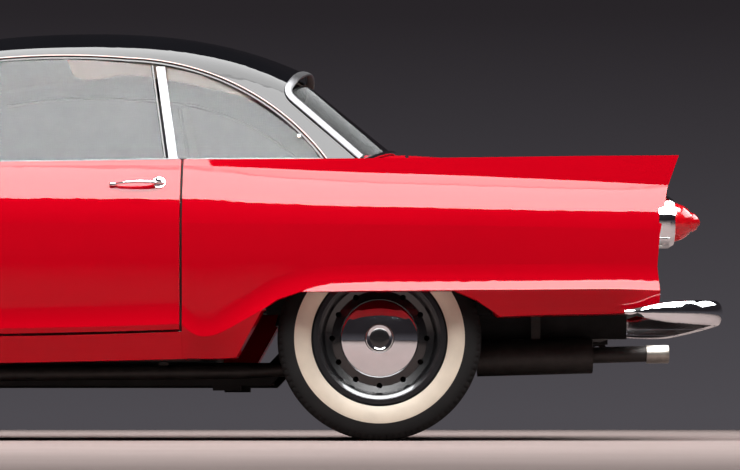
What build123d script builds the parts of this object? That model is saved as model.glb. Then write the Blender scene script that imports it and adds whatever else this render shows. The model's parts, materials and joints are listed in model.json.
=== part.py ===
"""Two-door coupe of the late 1950s with tail fins.

Millimetres. +X points to the nose, +Y to the car's left and +Z up. The origin lies on the ground
under the middle of the bumper-to-bumper box. Each piece is exported to parts/ by itself.
"""
import math
import os
from collections import namedtuple
from itertools import pairwise

from build123d import *

# Overall sizes
LENGTH = 4170
HEIGHT = 1356
REAR_OVERHANG = 1090
WHEELBASE = 2350
FRONT_TRACK = 1290
REAR_TRACK = 1350
REAR_AXLE_X = -LENGTH / 2 + REAR_OVERHANG
FRONT_AXLE_X = REAR_AXLE_X + WHEELBASE

# Wheels and tyres
TYRE_R = 320
TYRE_W = 146
RIM_R = 207
RIM_W = 128
RIM_BORE_R = 176
CAP_R = 121
VENT_COUNT = 12
VENT_R = 148
VENT_HOLE_R = 9
STUB_R = 20
STUB_FIT = 0.06

# Shut lines
GAP = 8
SEAT_GAP = 0.3
DOOR_REAR_X = -380
DOOR_FRONT_X = 650
DOOR_HEM = 16
BONNET_REAR_X = 860
BONNET_FRONT_X = 1905
LID_FRONT_X = -1085
LID_REAR_X = -1846
DECK_FRONT_X = -946
DECK_HALF = 660

# Skins
SIDE_RADIUS = 1700
FLARE_HEIGHT = 80
FIN_THICKNESS = 16
WING_SKIN = 10
LID_SKIN = 16
HEM_TUCK = 32
WING_END_X = 1955
FIN_END_X = -1950

# Greenhouse
TUMBLE = 0.487
ROOF_SKIN = 32
GLASS = 6
WINDSCREEN_FOOT = (700, 872)
WINDSCREEN_CORNER = (395, 1213)
WINDSCREEN_HEADER_X = 472
WINDSCREEN_BASE = (806, 910)
REAR_FOOT = (-940, 884)
REAR_CORNER = (-691, 1106)
REAR_HEADER_X = -748
REAR_BASE = (-1042, 960)
PILLAR_W = 46
B_STRIP_TOP = (-294, 1199)
B_STRIP_FOOT = (-350, 876)
B_STRIP_W = 28

# Firewall
FIREWALL_X = 700
FIREWALL_HALF = 592
FIREWALL_LOW = 268.3
FIREWALL_HIGH = 855

# Hinges
HINGE_BACK = 40
HINGE_IN = 15
HINGE_X = DOOR_FRONT_X - GAP / 2 - HINGE_BACK
HINGE_HEIGHTS = (575, 690)
HINGE_H = 24
HINGE_EYE_R = 8
HINGE_PIN_R = 4
HINGE_ARM = 10
LIFT_PIN_R = 3.5
LIFT_EYE_R = 7
LIFT_GAP = 12
BONNET_AXIS = (964, 864)
BONNET_HINGE_Y = 250
LID_AXIS = (-1215, 909)
LID_HINGE_Y = 200
LUG_T = 10
KINGPIN_IN = 45
KINGPIN_R = 12
STEER_WHEEL_X = 300
STEER_WHEEL_Y = 340
STEER_WHEEL_Z = 790
STEER_RAKE = 30
STEER_WHEEL_R = 195

Side = namedtuple("Side", "x bulge_y bulge_z shoulder_y shoulder_z top_y top_z crease_z flare hem_z")
SIDES = (
    Side(-1950, 778, 652, 733, 796, 729, 893, 470, 24, 400),
    Side(-1600, 806, 660, 747, 812, 742, 889, 468, 24, 393),
    Side(-1230, 822, 666, 757, 827, 752, 883, 465, 24, 377),
    Side(-900, 829, 669, 762, 837, 757, 880, 461, 24, 345),
    Side(-750, 831, 670, 764, 843, 759, 879, 446, 22, 305),
    Side(-650, 832, 671, 766, 848, 761, 878, 405, 20, 272),
    Side(-560, 832, 671, 768, 852, 763, 877, 370, 18, 261),
    Side(-380, 833, 672, 772, 857, 767, 876, 361, 16, 254),
    Side(0, 833, 672, 775, 856, 769, 870, 350, 16, 245),
    Side(650, 829, 672, 773, 852, 763, 864, 342, 16, 235),
    Side(1000, 824, 670, 768, 846, 744, 860, 340, 18, 232),
    Side(1355, 815, 666, 758, 838, 706, 853, 345, 20, 245),
    Side(1700, 796, 658, 740, 822, 674, 838, 352, 18, 285),
    Side(1955, 764, 645, 712, 796, 642, 815, 360, 12, 318),
)

Lid = namedtuple("Lid", "x half centre_z edge_z")
BONNETS = (
    Lid(650, 604, 905, 861),
    Lid(860, 592, 902, 857),
    Lid(1200, 568, 886, 842),
    Lid(1600, 530, 846, 806),
    Lid(1905, 492, 778, 752),
    Lid(1955, 486, 752, 733),
)
DECKS = (
    Lid(-380, 660, 946, 869),
    Lid(-880, 660, 948, 869),
    Lid(-1085, 660, 950, 867),
    Lid(-1300, 660, 933, 861),
    Lid(-1600, 660, 884, 836),
    Lid(-1850, 660, 806, 792),
    Lid(-1950, 660, 770, 768),
)

Green = namedtuple("Green", "x base_y base_z crown_r corner_r top_z")
GREENS = (
    Green(-960, 664, 870, 1300, 100, 1108),
    Green(-760, 703, 872, 1700, 150, 1223),
    Green(-560, 722, 875, 2100, 200, 1297),
    Green(-300, 730, 875, 2400, 235, HEIGHT - 12),
    Green(0, 728, 871, 2500, 240, HEIGHT - 3),
    Green(400, 722, 868, 2300, 210, HEIGHT - 42),
    Green(720, 702, 866, 1900, 80, 1074),
)

# Openings in the side view, as x and z
REAR_ARCH = ((-553, 200), (-553, 261), (-632, 404), (-680, 436), (-750, 460), (-1227, 463),
             (-1295, 434), (-1335, 408), (-1369, 383), (-1369, 200))
TAIL_LINE = ((-1933, 930), (-1933, 892), (-1894, 785), (-1866, 640), (-1858, 540), (-1865, 465),
             (-1862, 360))
WINDOW_TOP = ((350, 1203), (90, 1228), (-194, 1219), (-560, 1118), (-827, 884))
FRONT_ARCH_R = 376
FRONT_ARCH_Z = 332


def blend(table, x):
    """Return the row of a table at x, each column on a smooth curve through the rows."""
    rows = sorted(table)
    index = 0
    while index < len(rows) - 2 and x > rows[index + 1].x:
        index += 1
    low, high = rows[index], rows[index + 1]
    before = rows[max(index - 1, 0)]
    after = rows[min(index + 2, len(rows) - 1)]
    span = high.x - low.x
    t = (x - low.x) / span
    weights = (2 * t**3 - 3 * t**2 + 1, t**3 - 2 * t**2 + t, 3 * t**2 - 2 * t**3, t**3 - t**2)
    values = []
    for a, b, c, d in zip(before, low, high, after):
        slope_low = (c - a) / (high.x - before.x)
        slope_high = (d - b) / (after.x - low.x)
        values.append(weights[0] * b + weights[1] * span * slope_low
                      + weights[2] * c + weights[3] * span * slope_high)
    return type(low)(*values)


def skin_y(x, z):
    """Half width of the body's skin at x and height z."""
    s = blend(SIDES, x)
    if z >= s.shoulder_z:
        t = (z - s.shoulder_z) / (s.top_z - s.shoulder_z)
        return s.shoulder_y + t * (s.top_y - s.shoulder_y)
    if z >= s.bulge_z:
        t = (z - s.bulge_z) / (s.shoulder_z - s.bulge_z)
        return s.bulge_y - (s.bulge_y - s.shoulder_y) * t**2
    height = max(z, s.crease_z)
    flare = s.flare * max(0, 1 - (height - s.crease_z) / FLARE_HEIGHT) ** 2
    tuck = HEM_TUCK * max(0, s.crease_z - z) / (s.crease_z - s.hem_z)
    return s.bulge_y - (s.bulge_z - height) ** 2 / (2 * SIDE_RADIUS) + flare - tuck


def draw_skin(x, low_z, inset=0):
    """Draw the skin's section at x from low_z to the top edge, moved inward by inset."""
    s = blend(SIDES, x)
    knots = (s.crease_z, s.crease_z + FLARE_HEIGHT, s.bulge_z, s.shoulder_z)
    Line((skin_y(x, low_z) - inset, low_z), (skin_y(x, s.crease_z) - inset, s.crease_z))
    for low, high in pairwise(knots):
        heights = (low, (low + high) / 2, high)
        ThreePointArc(*[(skin_y(x, z) - inset, z) for z in heights])


def green_points(x, inset=0):
    """Return base, cant, corner, join and top of the greenhouse's section, moved inward by inset."""
    g = blend(GREENS, x)
    slope = Vector(-TUMBLE, 1).normalized()
    inward = Vector(-slope.Y, slope.X)
    base = Vector(g.base_y - inset / slope.Y, g.base_z)
    crown = Vector(0, g.top_z - g.crown_r)
    crown_r = g.crown_r - inset
    corner_r = g.corner_r - inset
    start = base + inward * corner_r - crown
    along = start.dot(slope)
    reach = math.sqrt(along**2 - start.dot(start) + (crown_r - corner_r) ** 2) - along
    centre = base + slope * reach + inward * corner_r
    outward = (centre - crown).normalized()
    cant = base + slope * reach
    join = crown + outward * crown_r
    corner = centre + (outward - inward).normalized() * corner_r
    middle = crown + (outward + Vector(0, 1)).normalized() * crown_r
    return base, cant, corner, join, middle, crown + Vector(0, crown_r)


def draw_green(x, inset=0):
    """Draw both halves of the greenhouse's section: a straight side, a tight arc and a crown."""
    for side in (1, -1):
        base, cant, corner, join, middle, top = [(side * p.X, p.Y) for p in green_points(x, inset)]
        Line(base, cant)
        ThreePointArc(cant, corner, join)
        ThreePointArc(join, middle, top)


def green_y(x, z):
    """Half width of the greenhouse's straight side at x and height z."""
    g = blend(GREENS, x)
    return g.base_y - TUMBLE * (z - g.base_z)


def draw_arch_band(half, centre_z, edge_z, skin):
    """Draw a crowned band: an arc across the car with a second one a skin's thickness below."""
    for drop in (0, skin):
        ThreePointArc((-half, edge_z - drop), (0, centre_z - drop), (half, edge_z - drop))
    for side in (-half, half):
        Line((side, edge_z), (side, edge_z - skin))


os.makedirs("parts", exist_ok=True)

# Doors, each a wall with a slot for its frameless glass
DOOR_STATIONS = (DOOR_FRONT_X - GAP / 2, 350, 0, DOOR_REAR_X + GAP / 2)
GLASS_FOOT_Z = 845
SLOT_FIT = 0.6
DOOR_INNER_TOP = 684
DOOR_INNER_FOOT = 735

with BuildPart() as door_left:
    for x in DOOR_STATIONS:
        row = blend(SIDES, x)
        foot_z = row.crease_z - DOOR_HEM
        with BuildSketch(Plane.YZ.offset(x)):
            with BuildLine():
                draw_skin(x, foot_z)
                Polyline((row.shoulder_y, row.shoulder_z), (row.top_y, row.top_z),
                         (DOOR_INNER_TOP, row.top_z), (DOOR_INNER_FOOT, foot_z),
                         (skin_y(x, foot_z), foot_z))
            make_face()
    loft()
    with BuildSketch(Plane.YZ.offset(DOOR_REAR_X + GAP / 2)):
        with BuildLine():
            low = green_y(0, GLASS_FOOT_Z - SLOT_FIT)
            high = green_y(0, 900)
            reach = GLASS + SLOT_FIT
            Polyline((low + SLOT_FIT, GLASS_FOOT_Z - SLOT_FIT), (high + SLOT_FIT, 900),
                     (high - reach, 900), (low - reach, GLASS_FOOT_Z - SLOT_FIT), close=True)
        make_face()
    extrude(amount=DOOR_FRONT_X - DOOR_REAR_X - GAP, mode=Mode.SUBTRACT)
    hinge_y = blend(SIDES, DOOR_FRONT_X).bulge_y - HINGE_IN
    for z in HINGE_HEIGHTS:
        with BuildSketch(Plane.XY.offset(z - HINGE_H / 2 - 2)):
            with BuildLine():
                Polyline((HINGE_X - 11, hinge_y + 9), (DOOR_FRONT_X, hinge_y + 10),
                         (DOOR_FRONT_X, hinge_y - 70), (HINGE_X + 22, hinge_y - 58),
                         (HINGE_X - 11, hinge_y - 9), close=True)
            make_face()
        extrude(amount=HINGE_H + 4, mode=Mode.SUBTRACT)
        with BuildSketch(Plane.XY.offset(z - HINGE_H / 2 - 6)):
            with Locations((HINGE_X, hinge_y)):
                Circle(HINGE_PIN_R)
        extrude(amount=HINGE_H + 12)
door_left.part.label = "door_left"
export_step(door_left.part, "parts/door_left.step")

with BuildPart() as door_right:
    mirror(door_left.part, about=Plane.XZ)
door_right.part.label = "door_right"
export_step(door_right.part, "parts/door_right.step")

# Door glass, flat and leaning inward, trimmed in the side view
GLASS_REAR_TOP = B_STRIP_TOP[0] + B_STRIP_W / 2 + GAP - 1
GLASS_REAR_FOOT = B_STRIP_FOOT[0] + B_STRIP_W / 2 + GAP
with BuildPart() as door_glass_left:
    with BuildSketch(Plane.YZ.offset(DOOR_REAR_X)):
        with BuildLine():
            low = green_y(0, GLASS_FOOT_Z)
            high = green_y(0, HEIGHT)
            Polyline((low, GLASS_FOOT_Z), (high, HEIGHT), (high - GLASS, HEIGHT),
                     (low - GLASS, GLASS_FOOT_Z), close=True)
        make_face()
    extrude(amount=DOOR_FRONT_X - DOOR_REAR_X)
    with BuildSketch(Plane.XZ):
        with BuildLine():
            front = DOOR_FRONT_X - GAP / 2 - 2
            Polyline((GLASS_REAR_TOP, 1192), (GLASS_REAR_FOOT, 876), (GLASS_REAR_FOOT, 800),
                     (front - 30, 800), (front - 30, 872), (341, 1190))
            ThreePointArc((341, 1190), (60, 1217), (GLASS_REAR_TOP, 1192))
        make_face()
    extrude(amount=1000, both=True, mode=Mode.INTERSECT)
door_glass_left.part.label = "door_glass_left"
export_step(door_glass_left.part, "parts/door_glass_left.step")

with BuildPart() as door_glass_right:
    mirror(door_glass_left.part, about=Plane.XZ)
door_glass_right.part.label = "door_glass_right"
export_step(door_glass_right.part, "parts/door_glass_right.step")

# Rear quarters, with fin, gutter, wheel pocket, arch and raked tail
QUARTER_FRONT_X = DOOR_REAR_X - GAP / 2
QUARTER_STEPS = 8
QUARTER_STATIONS = [QUARTER_FRONT_X + (FIN_END_X - QUARTER_FRONT_X) * i / QUARTER_STEPS
                    for i in range(QUARTER_STEPS + 1)]
QUARTER_INNER = DECK_HALF + GAP / 2
POCKET_R = TYRE_R + 46
POCKET_Y = 774
TAIL_X = -1856
LAMP_SET = 9
TAIL_LAMP_Y = 700
TAIL_LAMP_Z = 684
TAIL_LAMP_R = 62
TAIL_RIM_W = 20
PANE_STATIONS = (-320, -820)
SLOT_Z = 856

with BuildPart() as rear_quarters:
    for x in QUARTER_STATIONS:
        row = blend(SIDES, x)
        deck = blend(DECKS, x)
        with BuildSketch(Plane.YZ.offset(x)):
            with BuildLine():
                draw_skin(x, row.hem_z)
                Polyline((row.shoulder_y, row.shoulder_z), (row.top_y, row.top_z),
                         (row.top_y - FIN_THICKNESS, row.top_z - 1), (QUARTER_INNER + 34, deck.edge_z),
                         (QUARTER_INNER, deck.edge_z), (QUARTER_INNER, row.hem_z),
                         (skin_y(x, row.hem_z), row.hem_z))
            make_face()
    loft()
    for x in PANE_STATIONS:
        with BuildSketch(Plane.YZ.offset(x)):
            with BuildLine():
                low = green_y(x, SLOT_Z - SEAT_GAP) + SEAT_GAP
                high = green_y(x, 900) + SEAT_GAP
                wide = GLASS + 2 * SEAT_GAP
                Polyline((low, SLOT_Z - SEAT_GAP), (high, 900), (high - wide, 900),
                         (low - wide, SLOT_Z - SEAT_GAP), close=True)
            make_face()
    loft(mode=Mode.SUBTRACT)
    with BuildSketch(Plane.XZ.offset(-POCKET_Y)):
        with Locations((REAR_AXLE_X, TYRE_R)):
            Circle(POCKET_R)
    extrude(amount=POCKET_Y - 500, mode=Mode.SUBTRACT)
    with BuildSketch(Plane.XZ):
        with BuildLine():
            Polyline(*REAR_ARCH, close=True)
        make_face()
        with BuildLine():
            Polyline(*TAIL_LINE, (-2100, 360), (-2100, 930), close=True)
        make_face()
    extrude(amount=-1000, mode=Mode.SUBTRACT)
    with BuildSketch(Plane.YZ.offset(TAIL_X - LAMP_SET + SEAT_GAP)):
        with Locations((TAIL_LAMP_Y, TAIL_LAMP_Z)):
            Circle(TAIL_LAMP_R + TAIL_RIM_W + 2 * SEAT_GAP)
    extrude(amount=-200, mode=Mode.SUBTRACT)
    mirror(about=Plane.XZ)
rear_quarters.part.label = "rear_quarters"
export_step(rear_quarters.part, "parts/rear_quarters.step")

# Sills under the doors
SILL_INNER = 690
with BuildPart() as sills:
    for x in (DOOR_REAR_X - GAP / 2 + SEAT_GAP, 0, DOOR_FRONT_X + GAP / 2 - SEAT_GAP):
        row = blend(SIDES, x)
        top_z = row.crease_z - DOOR_HEM - GAP
        with BuildSketch(Plane.YZ.offset(x)):
            with BuildLine():
                Polyline((skin_y(x, top_z), top_z), (skin_y(x, row.hem_z), row.hem_z),
                         (SILL_INNER, row.hem_z), (SILL_INNER, top_z), close=True)
            make_face()
    loft()
    mirror(about=Plane.XZ)
sills.part.label = "sills"
export_step(sills.part, "parts/sills.step")

# Front wings, thin skins with a round arch and a face for the headlamp
WING_STATIONS = (DOOR_FRONT_X + GAP / 2, 1000, FRONT_AXLE_X, 1700, WING_END_X)
LAMP_Y = 638
LAMP_Z = 672
LAMP_R = 96

with BuildPart() as front_wings:
    for x in WING_STATIONS:
        row = blend(SIDES, x)
        lid = blend(BONNETS, x)
        with BuildSketch(Plane.YZ.offset(x)):
            with BuildLine():
                for inset in (0, WING_SKIN):
                    draw_skin(x, row.hem_z, inset)
                    Polyline((row.shoulder_y - inset, row.shoulder_z),
                             (row.top_y - inset / 2, row.top_z - inset),
                             (lid.half + GAP / 2, lid.edge_z - inset))
                foot = skin_y(x, row.hem_z)
                Line((foot, row.hem_z), (foot - WING_SKIN, row.hem_z))
                Line((lid.half + GAP / 2, lid.edge_z), (lid.half + GAP / 2, lid.edge_z - WING_SKIN))
            make_face()
    loft()
    with BuildSketch(Plane.XZ):
        with Locations((FRONT_AXLE_X, FRONT_ARCH_Z)):
            Circle(FRONT_ARCH_R)
    extrude(amount=-1000, mode=Mode.SUBTRACT)
    end = blend(SIDES, WING_END_X)
    end_lid = blend(BONNETS, WING_END_X)
    with BuildSketch(Plane.YZ.offset(WING_END_X)):
        with BuildLine():
            draw_skin(WING_END_X, end.hem_z)
            Polyline((end.shoulder_y, end.shoulder_z), (end.top_y, end.top_z),
                     (end_lid.half + GAP / 2, end_lid.edge_z), (end_lid.half + GAP / 2, end.hem_z),
                     (skin_y(WING_END_X, end.hem_z), end.hem_z))
        make_face()
        with Locations((LAMP_Y, LAMP_Z)):
            Circle(LAMP_R, mode=Mode.SUBTRACT)
    extrude(amount=-WING_SKIN)
    mirror(about=Plane.XZ)
front_wings.part.label = "front_wings"
export_step(front_wings.part, "parts/front_wings.step")

# Inner wings beside the engine, inside the sweep of the steered tyres
INNER_WING_Y = 366
HINGE_BAR_Y = 520
HINGE_BAR_Z = 742
with BuildPart() as inner_wings:
    for x in (FIREWALL_X + 20 + SEAT_GAP, 1355, 1900):
        lid = blend(BONNETS, x)
        rail = min(lid.half, 560) - 6
        with BuildSketch(Plane.YZ.offset(x)):
            with BuildLine():
                Polyline((INNER_WING_Y, 478), (INNER_WING_Y, 640), (rail, lid.edge_z - 92),
                         (rail - 14, lid.edge_z - 92), (INNER_WING_Y - 8, 644),
                         (INNER_WING_Y - 8, 478), close=True)
            make_face()
    loft()
    mirror(about=Plane.XZ)
    with BuildSketch(Plane.XZ.offset(-HINGE_BAR_Y)):
        with Locations((BONNET_AXIS[0], HINGE_BAR_Z)):
            Rectangle(24, 20)
    extrude(amount=2 * HINGE_BAR_Y)
    for side in (1, -1):
        with BuildSketch(Plane.XZ.offset(-side * BONNET_HINGE_Y - LUG_T / 2)):
            with Locations((BONNET_AXIS[0], (BONNET_AXIS[1] + HINGE_BAR_Z) / 2)):
                Rectangle(2 * LIFT_EYE_R, BONNET_AXIS[1] - HINGE_BAR_Z)
            with Locations(BONNET_AXIS):
                Circle(LIFT_EYE_R)
                Circle(LIFT_PIN_R + STUB_FIT, mode=Mode.SUBTRACT)
        extrude(amount=LUG_T)
inner_wings.part.label = "inner_wings"
export_step(inner_wings.part, "parts/inner_wings.step")

# Bonnet with its raised scoop, and the boot lid
with BuildPart() as bonnet:
    for x in (BONNET_REAR_X + LIFT_GAP - GAP / 2, 1200, 1600, BONNET_FRONT_X):
        lid = blend(BONNETS, x)
        with BuildSketch(Plane.YZ.offset(x)):
            with BuildLine():
                draw_arch_band(lid.half - GAP / 2, lid.centre_z, lid.edge_z, LID_SKIN)
            make_face()
    loft()
    for x, half, rise in ((1080, 90, 2), (1330, 150, 22), (1640, 205, 42)):
        lid = blend(BONNETS, x)
        with BuildSketch(Plane.YZ.offset(x)):
            with BuildLine():
                base_z = lid.centre_z - 10
                arch = ThreePointArc((-half, base_z), (0, lid.centre_z + rise), (half, base_z))
                Line(arch @ 0, arch @ 1)
            make_face()
    loft()
    for side in (1, -1):
        for offset in (LUG_T / 2 + 1, -LUG_T / 2 - 1 - LUG_T):
            with BuildSketch(Plane.XZ.offset(-side * BONNET_HINGE_Y + offset)):
                with Locations(BONNET_AXIS):
                    Circle(LIFT_EYE_R)
                with Locations((BONNET_AXIS[0], BONNET_AXIS[1] + 9)):
                    Rectangle(2 * LIFT_EYE_R, 18)
            extrude(amount=LUG_T)
        with BuildSketch(Plane.XZ.offset(-side * BONNET_HINGE_Y - LUG_T)):
            with Locations(BONNET_AXIS):
                Circle(LIFT_PIN_R)
        extrude(amount=2 * LUG_T)
bonnet.part.label = "bonnet"
export_step(bonnet.part, "parts/bonnet.step")

with BuildPart() as boot_lid:
    for x in (LID_FRONT_X + GAP / 2 - LIFT_GAP, -1300, -1600, LID_REAR_X):
        lid = blend(DECKS, x)
        with BuildSketch(Plane.YZ.offset(x)):
            with BuildLine():
                draw_arch_band(lid.half - GAP / 2, lid.centre_z, lid.edge_z, LID_SKIN)
            make_face()
    loft()
    for side in (1, -1):
        for offset in (LUG_T / 2 + 1, -LUG_T / 2 - 1 - LUG_T):
            with BuildSketch(Plane.XZ.offset(-side * LID_HINGE_Y + offset)):
                with Locations(LID_AXIS):
                    Circle(LIFT_EYE_R)
                with Locations((LID_AXIS[0], LID_AXIS[1] + 9)):
                    Rectangle(2 * LIFT_EYE_R, 18)
            extrude(amount=LUG_T)
        with BuildSketch(Plane.XZ.offset(-side * LID_HINGE_Y - LUG_T)):
            with Locations(LID_AXIS):
                Circle(LIFT_PIN_R)
        extrude(amount=2 * LUG_T)
boot_lid.part.label = "boot_lid"
export_step(boot_lid.part, "parts/boot_lid.step")

# Cowl with firewall and door posts, and the deck behind the rear window
COWL_SKIN = 24
with BuildPart() as cowl:
    for x in (DOOR_FRONT_X + GAP / 2, 760, BONNET_REAR_X - GAP / 2):
        lid = blend(BONNETS, x)
        with BuildSketch(Plane.YZ.offset(x)):
            with BuildLine():
                draw_arch_band(lid.half + 1, lid.centre_z, lid.edge_z, COWL_SKIN)
            make_face()
    loft()
    with BuildSketch(Plane.YZ.offset(FIREWALL_X)):
        with Locations((0, (FIREWALL_LOW + FIREWALL_HIGH) / 2)):
            Rectangle(2 * FIREWALL_HALF, FIREWALL_HIGH - FIREWALL_LOW)
    extrude(amount=20)
    for side in (1, -1):
        with BuildSketch(Plane.XY.offset(290)):
            with Locations((FIREWALL_X + 5, side * (FIREWALL_HALF + 65))):
                Rectangle(60, 140)
        extrude(amount=520)
        for z in HINGE_HEIGHTS:
            with BuildSketch(Plane.XY.offset(z - HINGE_H / 2)):
                with BuildLine():
                    eye = Vector(HINGE_X, side * hinge_y)
                    root = Vector(FIREWALL_X - 14, side * (FIREWALL_HALF + 118))
                    half = (root - eye).normalized().rotate(Axis.Z, 90) * (HINGE_ARM / 2)
                    Polyline(eye + half, root + half, root - half, eye - half, close=True)
                make_face()
                with Locations(eye):
                    Circle(HINGE_EYE_R)
                    Circle(HINGE_PIN_R + STUB_FIT, mode=Mode.SUBTRACT)
            extrude(amount=HINGE_H)
cowl.part.label = "cowl"
export_step(cowl.part, "parts/cowl.step")

with BuildPart() as rear_deck:
    for x in (DECK_FRONT_X, LID_FRONT_X + GAP / 2):
        lid = blend(DECKS, x)
        with BuildSketch(Plane.YZ.offset(x)):
            with BuildLine():
                draw_arch_band(DECK_HALF + GAP / 2 - SEAT_GAP, lid.centre_z, lid.edge_z, LID_SKIN)
            make_face()
    loft()
rear_deck.part.label = "rear_deck"
export_step(rear_deck.part, "parts/rear_deck.step")

# Roof with its pillars: one shell with the glass openings cut from it
FOOT_DEPTH = 8
ROOF_STATIONS = (-960, -760, -560, -300, 0, 400, 720)
with BuildPart() as roof:
    for x in ROOF_STATIONS:
        outer = green_points(x)[0]
        inner = green_points(x, ROOF_SKIN)[0]
        with BuildSketch(Plane.YZ.offset(x)):
            with BuildLine():
                draw_green(x)
                draw_green(x, ROOF_SKIN)
                for side in (1, -1):
                    Polyline((side * outer.X, outer.Y),
                             (side * (outer.X + FOOT_DEPTH * TUMBLE), outer.Y - FOOT_DEPTH),
                             (side * (inner.X + FOOT_DEPTH * TUMBLE), inner.Y - FOOT_DEPTH),
                             (side * inner.X, inner.Y))
            make_face()
    loft()
    with BuildSketch(Plane.XZ):
        with BuildLine():
            ThreePointArc(*WINDOW_TOP[:3])
            ThreePointArc(*WINDOW_TOP[2:])
            Polyline(WINDOW_TOP[-1], (-827, 700), (DOOR_FRONT_X + GAP, 700),
                     (DOOR_FRONT_X + GAP, 872), WINDOW_TOP[0])
        make_face()
        with BuildLine():
            Polyline(WINDSCREEN_FOOT, WINDSCREEN_CORNER, (WINDSCREEN_HEADER_X, 1275),
                     (WINDSCREEN_HEADER_X, 1500), (1000, 1500), (1000, 700),
                     (WINDSCREEN_FOOT[0], 700), close=True)
        make_face()
        with BuildLine():
            Polyline(REAR_CORNER, (REAR_HEADER_X, 1206), (REAR_HEADER_X, 1500), (-1300, 1500),
                     (-1300, 700), (REAR_FOOT[0], 700), REAR_FOOT, close=True)
        make_face()
    extrude(amount=1000, both=True, mode=Mode.SUBTRACT)
    add((rear_quarters.part, front_wings.part, cowl.part), mode=Mode.SUBTRACT)
roof.part.label = "roof"
export_step(roof.part, "parts/roof.step")


def draw_pane(corner_y, rise, sheet):
    """Draw a bowed pane's edge across the car: an arc through both corners and a second inside."""
    for inset in (0, sheet):
        ThreePointArc((-corner_y, -inset), (0, rise - inset), (corner_y, -inset))
    for side in (-corner_y, corner_y):
        Line((side, 0), (side, -sheet))


# Wrap-round windscreen and rear window, each between an upper and a lower bow
PANE_IN = 10
PANE_OUT = 12
PANES = {
    "windscreen": (((WINDSCREEN_CORNER[0] + PANE_OUT, WINDSCREEN_CORNER[1] - PANE_OUT / 2),
                    (WINDSCREEN_HEADER_X + PANE_OUT, 1264)),
                   ((WINDSCREEN_FOOT[0] + PANE_OUT, WINDSCREEN_FOOT[1]), WINDSCREEN_BASE)),
    "rear_window": (((REAR_CORNER[0] - PANE_OUT, REAR_CORNER[1] - PANE_OUT / 2),
                     (REAR_HEADER_X - PANE_OUT, 1190)),
                    ((REAR_FOOT[0] - PANE_OUT, REAR_FOOT[1]), REAR_BASE)),
}
with BuildPart() as windscreen:
    for corner, middle in PANES["windscreen"]:
        bow = Vector(middle[0] - corner[0], 0, middle[1] - corner[1])
        across = Plane((corner[0], 0, corner[1]), x_dir=(0, 1, 0), z_dir=Vector(0, 1, 0).cross(bow))
        with BuildSketch(across):
            with BuildLine():
                draw_pane(green_y(*corner) - PANE_IN, bow.length, GLASS)
            make_face()
    loft()
    add((roof.part, cowl.part), mode=Mode.SUBTRACT)
windscreen.part.label = "windscreen"
export_step(windscreen.part, "parts/windscreen.step")

with BuildPart() as rear_window:
    for corner, middle in PANES["rear_window"]:
        bow = Vector(middle[0] - corner[0], 0, middle[1] - corner[1])
        across = Plane((corner[0], 0, corner[1]), x_dir=(0, 1, 0), z_dir=Vector(0, 1, 0).cross(bow))
        with BuildSketch(across):
            with BuildLine():
                draw_pane(green_y(*corner) - PANE_IN, bow.length, GLASS)
            make_face()
    loft()
    add((roof.part, rear_deck.part), mode=Mode.SUBTRACT)
rear_window.part.label = "rear_window"
export_step(rear_window.part, "parts/rear_window.step")

# Quarter windows in their slots, and the fixed bright strips ahead of them
STRIP_SLOPE = (B_STRIP_TOP[0] - B_STRIP_FOOT[0]) / (B_STRIP_TOP[1] - B_STRIP_FOOT[1])
STRIP_LOW = 882
STRIP_HIGH = 1192


def strip_x(z, out):
    """Line parallel to the bright strip's middle, moved forward by out."""
    return B_STRIP_FOOT[0] + STRIP_SLOPE * (z - B_STRIP_FOOT[1]) + out


with BuildPart() as quarter_windows:
    for x in PANE_STATIONS:
        with BuildSketch(Plane.YZ.offset(x)):
            with BuildLine():
                low = green_y(x, SLOT_Z)
                high = green_y(x, HEIGHT)
                Polyline((low, SLOT_Z), (high, HEIGHT), (high - GLASS, HEIGHT), (low - GLASS, SLOT_Z),
                         close=True)
            make_face()
    loft()
    with BuildSketch(Plane.XZ):
        with BuildLine():
            rear = -B_STRIP_W / 2 - SEAT_GAP
            crest = (strip_x(1186, rear), 1186)
            Polyline((-814, 878), (-814, SLOT_Z), (QUARTER_FRONT_X - 4, SLOT_Z), (QUARTER_FRONT_X - 4, STRIP_LOW),
                     (strip_x(STRIP_LOW, rear), STRIP_LOW), crest)
            ThreePointArc(crest, (-570, 1104), (-814, 878))
        make_face()
    extrude(amount=1000, both=True, mode=Mode.INTERSECT)
    mirror(about=Plane.XZ)
quarter_windows.part.label = "quarter_windows"
export_step(quarter_windows.part, "parts/quarter_windows.step")

with BuildPart() as b_strips:
    with BuildSketch(Plane.YZ.offset(-420)):
        with BuildLine():
            low = green_y(-320, 850) + 3
            high = green_y(-320, HEIGHT) + 3
            Polyline((low, 850), (high, HEIGHT), (high - 12, HEIGHT), (low - 12, 850), close=True)
        make_face()
    extrude(amount=200)
    with BuildSketch(Plane.XZ):
        with BuildLine():
            half = B_STRIP_W / 2
            Polyline((strip_x(STRIP_HIGH, -half), STRIP_HIGH), (strip_x(STRIP_HIGH, half), STRIP_HIGH),
                     (strip_x(STRIP_LOW, half), STRIP_LOW), (strip_x(STRIP_LOW, -half), STRIP_LOW), close=True)
        make_face()
    extrude(amount=1000, both=True, mode=Mode.INTERSECT)
    mirror(about=Plane.XZ)
b_strips.part.label = "b_strips"
export_step(b_strips.part, "parts/b_strips.step")

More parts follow.
